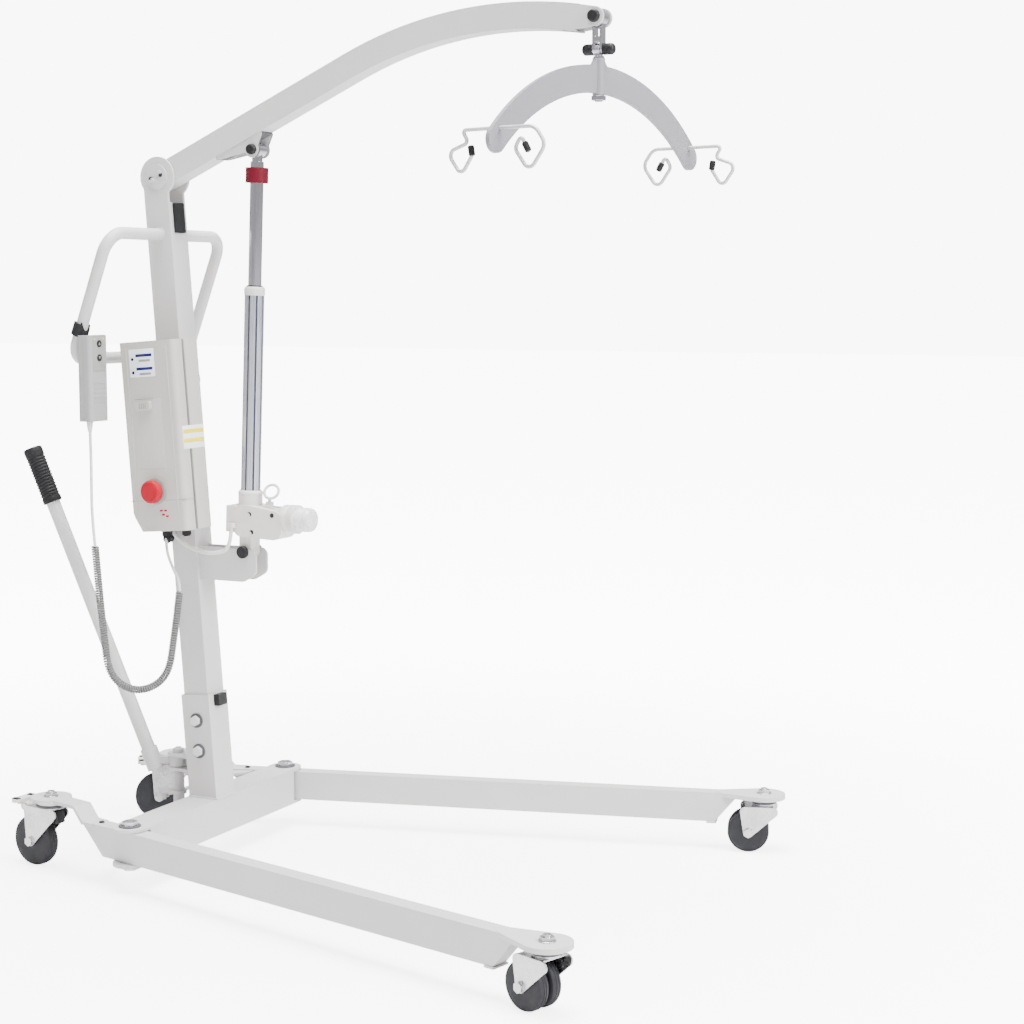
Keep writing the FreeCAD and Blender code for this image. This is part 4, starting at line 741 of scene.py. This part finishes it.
def arrow(name, centre, half, flip, material, body):
    """A small triangle on a button, facing forward."""
    mesh = bmesh.new()
    corners = [(0, -half, -half * flip), (0, half, -half * flip), (0, 0, half * flip)]
    front = [mesh.verts.new(centre + Vector(c) / 1000 + Vector((0.0003, 0, 0))) for c in corners]
    back = [mesh.verts.new(centre + Vector(c) / 1000 - Vector((0.0003, 0, 0))) for c in corners]
    mesh.faces.new(front)
    mesh.faces.new(list(reversed(back)))
    for i in range(3):
        j = (i + 1) % 3
        mesh.faces.new((front[i], back[i], back[j], front[j]))
    bmesh.ops.recalc_face_normals(mesh, faces=mesh.faces)
    data = bpy.data.meshes.new(name)
    mesh.to_mesh(data)
    mesh.free()
    add_object(name, data, material, body)


# ---- frame details ----
def screw(name, centre, axis, radius, material, body):
    """A domed cap screw with a hexagon recess."""
    head = lathe(name + "_head", [(radius * 0.45, 0), (radius, 0), (radius, 1.2), (radius * 0.8, 2.6),
                                  (radius * 0.45, 3.0)], centre, axis, material, None, 24)
    floor = [(radius * 0.45, 0.6), (radius * 0.1, 0.6)]
    socket = lathe(name + "_socket", floor, centre, axis, material, None, 6)
    whole = joined(name, [head, socket])
    smooth(whole)
    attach(whole, body)


def bead(name, start, end, radius, material, body):
    """A weld bead: a row of overlapping ripples between two points."""
    run = end - start
    ripples = max(6, int(run.length * 1000 / (radius * 0.9)))
    profile = []
    for k in range(ripples + 1):
        height = run.length * 1000 * k / ripples
        profile.append((radius * (1.0 if k % 2 else 0.86), height))
    lathe(name, profile, start, run.normalized(), material, body, 10)


SOCKET_HALF = 29.0


def make_frame_details(m):
    """Screws of the mast's head, dark washers of its socket that are partly painted shade, and the welds of
    socket, bracket and handle.
    """
    for sign in (-1, 1):
        side = "near" if sign < 0 else "far"
        face = Vector((0, sign, 0))
        for k, angle in enumerate((20, 200)):
            offset = Vector((math.cos(math.radians(angle)), 0, math.sin(math.radians(angle)))) * 0.0105
            place = MAST_HEAD + face * 0.028 + offset
            screw(f"mast_head_screw_{side}_{k}", place, face, 4.2, m["black"], "base")
        # Painted shade: the dark washer rings round the socket's white capped nuts stand in for the shadow
        # beside the caps.
        washer = [(6, 0), (13, 0), (13, 2.2), (6, 2.2)]
        for name, up in (("socket_washer", 85), ("socket_washer_upper", 140)):
            place = on_mast(0, sign * SOCKET_HALF, up)
            lathe(f"{name}_{side}", washer, place, face, m["dark_coat"], "base", 32)
    half = SOCKET_HALF + 0.5
    low = BEAM_TOP + 0.5
    for k, (a, b) in enumerate((((-half, -half), (half, -half)), ((half, -half), (half, half)),
                                ((half, half), (-half, half)))):
        bead(f"socket_weld_{k}", at(a[0], a[1], low), at(b[0], b[1], low), 2.2, m["coat"], "base")
    for sign in (-1, 1):
        side = "near" if sign < 0 else "far"
        start, end = on_mast(25.5, sign * 18.5, 400), on_mast(25.5, sign * 18.5, 449)
        bead(f"bracket_weld_{side}", start, end, 1.8, m["coat"], "base")
        handle = on_mast(0, sign * 25.2, HANDLE_UP)
        collar = [(10.6, 0), (13.2, 0), (12.4, 1.6), (10.6, 2.4)]
        lathe(f"handle_weld_{side}", collar, handle, Vector((0, sign, 0)), m["coat"], "base")


def on_leg(sign, along, outward, z):
    """A point so far forward of a leg's pivot along the leg, and so far to its outer side."""
    return at(along * math.cos(LEG_SPLAY) - outward * math.sin(LEG_SPLAY),
              sign * (LEG_PIVOT_Y + along * math.sin(LEG_SPLAY) + outward * math.cos(LEG_SPLAY)), z)


def make_leg_details(m):
    """A small bolt near the rear of each leg, and the washers at its castors and its pivot."""
    for side, sign in (("left", 1), ("right", -1)):
        screw(f"leg_{side}_rear_bolt", on_leg(sign, -75, 0, 104.5), UP, 5.0, m["black"], f"leg_{side}")
        for end, along, z in (("front", 909, 105), ("rear", -215, 128)):
            washer = [(6.2, 0), (13, 0), (13, 1.2), (12.2, 1.8), (6.2, 1.8)]
            place = on_leg(sign, along, 0, z)
            lathe(f"leg_{side}_{end}_washer", washer, place, UP, m["zinc"], f"leg_{side}", 40)
        washer = [(8.2, 0), (19, 0), (19, 1.5), (18, 2.2), (8.2, 2.2)]
        place = at(0, sign * LEG_PIVOT_Y, BEAM_TOP)
        lathe(f"pivot_{side}_washer", washer, place, UP, m["dark_coat"], "base", 48)


def castor_turn(joint, foot):
    """Turns a detail drawn with its wheel behind it into a castor's stored direction."""
    trail = Vector(foot) - Vector(joint["pos_m"])
    return Matrix.Rotation(math.atan2(-trail.y, -trail.x), 4, "Z")


def make_castor_details(m):
    """The dark bearing race under each mounting plate, and each rear brake's pads and black stop."""
    for side in ("left", "right"):
        for end, low, radius in (("front", 88.5, 22.0), ("rear", 111.0, 26.0)):
            joint = JOINTS[f"{end}_{side}_swivel"]
            place = Vector(joint["pos_m"])
            place.z = low / 1000
            race = [(7, 0), (radius, 0), (radius + 0.6, 2), (radius, 4), (radius - 3, 5.5), (7, 5.5)]
            lathe(f"{end}_{side}_race", race, place, UP, m["dark_coat"], f"{end}_{side}_castor", 48)
        joint = JOINTS[f"rear_{side}_swivel"]
        turn = castor_turn(joint, JOINTS[f"rear_{side}_wheel_spin"]["pos_m"])
        stem = Vector((*joint["pos_m"][:2], 0))
        stop = stem + turn @ Vector((0.019, 0, 0.094))
        block(f"rear_{side}_brake_stop", stop, (9, 20, 24), m["black"], f"rear_{side}_castor", turn, 2.5)
        for k, y in enumerate((-0.018, 0.018)):
            pad = stem + turn @ Vector((-0.067, y, 0.1185))
            body = f"rear_{side}_pedal"
            block(f"rear_{side}_pedal_pad_{k}", pad, (15, 9, 2.4), m["black"], body, turn, 0.8)


def make_grip(m):
    """The lever's rubber grip with its ring ridges."""
    foot, top = at(-115, -12, 155), at(-331, -69, 729)
    up = (top - foot).normalized()
    start = top - up * 0.105
    profile = [(12.6, 0), (16.0, 0), (17.0, 1.5), (17.0, 8)]
    ridges = 14
    for k in range(ridges):
        h = 12 + k * 5.6
        profile += [(15.6, h), (15.6, h + 1.2), (16.8, h + 2.4), (16.8, h + 4.2)]
    profile += [(17.0, 95), (17.0, 101), (15.5, 104), (12.0, 105), (2.0, 105)]
    grip = lathe("lever_grip_ridged", profile, start, up, m["rubber"], None, 48)
    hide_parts("lever_grip")
    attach(grip, "lever")


# ---- stage ----
def area_light(name, place, target, size, power):
    """A round soft light aimed at a point; metres and watts."""
    data = bpy.data.lights.new(name, "AREA")
    data.shape = "DISK"
    data.size = size
    data.energy = power
    light = bpy.data.objects.new(name, data)
    light.location = place
    light.rotation_euler = (Vector(target) - Vector(place)).to_track_quat("-Z", "Y").to_euler()
    bpy.context.collection.objects.link(light)


WHITE_STRENGTH = 9.0       # what the camera sees of the backdrop
FLOOR_STRENGTH = 4.0       # what it sees of the floor under the object, on top of the light there
FADE_START, FADE_END = 0.2, 2.6
ROOM_HIGH, ROOM_LOW = 1.60, 0.45       # the light from overhead, and from the horizon down


def seen_by_camera(tree):
    """One for what the camera sees directly, zero for light that bounces."""
    return tree.nodes.new("ShaderNodeLightPath").outputs["Is Camera Ray"]


def make_floor_finish():
    """A pale studio floor that fades to white away from the object, for the camera only."""
    material = finish_surface("pale_floor", (0.88, 0.88, 0.885), 0.75, contrast=0.005, blotch=0.5)
    tree = material.node_tree
    surface = tree.nodes["Principled BSDF"]
    place = tree.nodes.new("ShaderNodeTexCoord").outputs["Object"]
    distance = tree.nodes.new("ShaderNodeVectorMath")
    distance.operation = "LENGTH"
    tree.links.new(place, distance.inputs[0])
    fade = tree.nodes.new("ShaderNodeMapRange")
    fade.interpolation_type = "SMOOTHSTEP"
    fade.inputs["From Min"].default_value = FADE_START
    fade.inputs["From Max"].default_value = FADE_END
    fade.inputs["To Min"].default_value = FLOOR_STRENGTH
    fade.inputs["To Max"].default_value = WHITE_STRENGTH
    tree.links.new(distance.outputs["Value"], fade.inputs["Value"])
    gate = tree.nodes.new("ShaderNodeMath")
    gate.operation = "MULTIPLY"
    tree.links.new(fade.outputs["Result"], gate.inputs[0])
    tree.links.new(seen_by_camera(tree), gate.inputs[1])
    tree.links.new(gate.outputs["Value"], surface.inputs["Emission Strength"])
    surface.inputs["Emission Color"].default_value = (1, 1, 1, 1)
    return material


def make_world():
    """A room light, stronger from above; the camera alone sees it as a white backdrop."""
    world = bpy.data.worlds.new("studio")
    bpy.context.scene.world = world
    world.use_nodes = True
    tree = world.node_tree
    room = tree.nodes["Background"]
    room.inputs["Color"].default_value = (1.0, 1.0, 1.0, 1)
    direction = tree.nodes.new("ShaderNodeSeparateXYZ")
    tree.links.new(tree.nodes.new("ShaderNodeTexCoord").outputs["Generated"], direction.inputs["Vector"])
    height = tree.nodes.new("ShaderNodeMapRange")
    height.inputs["From Min"].default_value = -0.2
    height.inputs["From Max"].default_value = 0.8
    height.inputs["To Min"].default_value = ROOM_LOW
    height.inputs["To Max"].default_value = ROOM_HIGH
    tree.links.new(direction.outputs["Z"], height.inputs["Value"])
    tree.links.new(height.outputs["Result"], room.inputs["Strength"])
    white = tree.nodes.new("ShaderNodeBackground")
    white.inputs["Strength"].default_value = WHITE_STRENGTH
    white.inputs["Color"].default_value = (1.0, 1.0, 1.0, 1)
    mix = tree.nodes.new("ShaderNodeMixShader")
    tree.links.new(seen_by_camera(tree), mix.inputs["Fac"])
    tree.links.new(room.outputs["Background"], mix.inputs[1])
    tree.links.new(white.outputs["Background"], mix.inputs[2])
    tree.links.new(mix.outputs["Shader"], tree.nodes["World Output"].inputs["Surface"])


def make_stage():
    mesh = bmesh.new()
    bmesh.ops.create_grid(mesh, x_segments=1, y_segments=1, size=30)
    data = bpy.data.meshes.new("floor")
    mesh.to_mesh(data)
    mesh.free()
    add_object("floor", data, make_floor_finish())
    make_world()
    area_light("key_light", (4.5, -0.6, 3.2), (0, 0, 0.7), 2.2, 420)
    area_light("top_light", (0.2, -0.2, 5.0), (0, 0, 0.6), 3.0, 760)


make_camera()
materials = make_materials()
make_cords(materials)
paint_nodes(materials)
make_wheels(materials)
make_outer_tube(materials)
make_motor(materials)
make_gearbox_details(materials)
make_control_box_details(materials)
make_handset_details(materials)
make_frame_details(materials)
make_leg_details(materials)
make_castor_details(materials)
make_grip(materials)
make_stage()

bpy.context.view_layer.update()
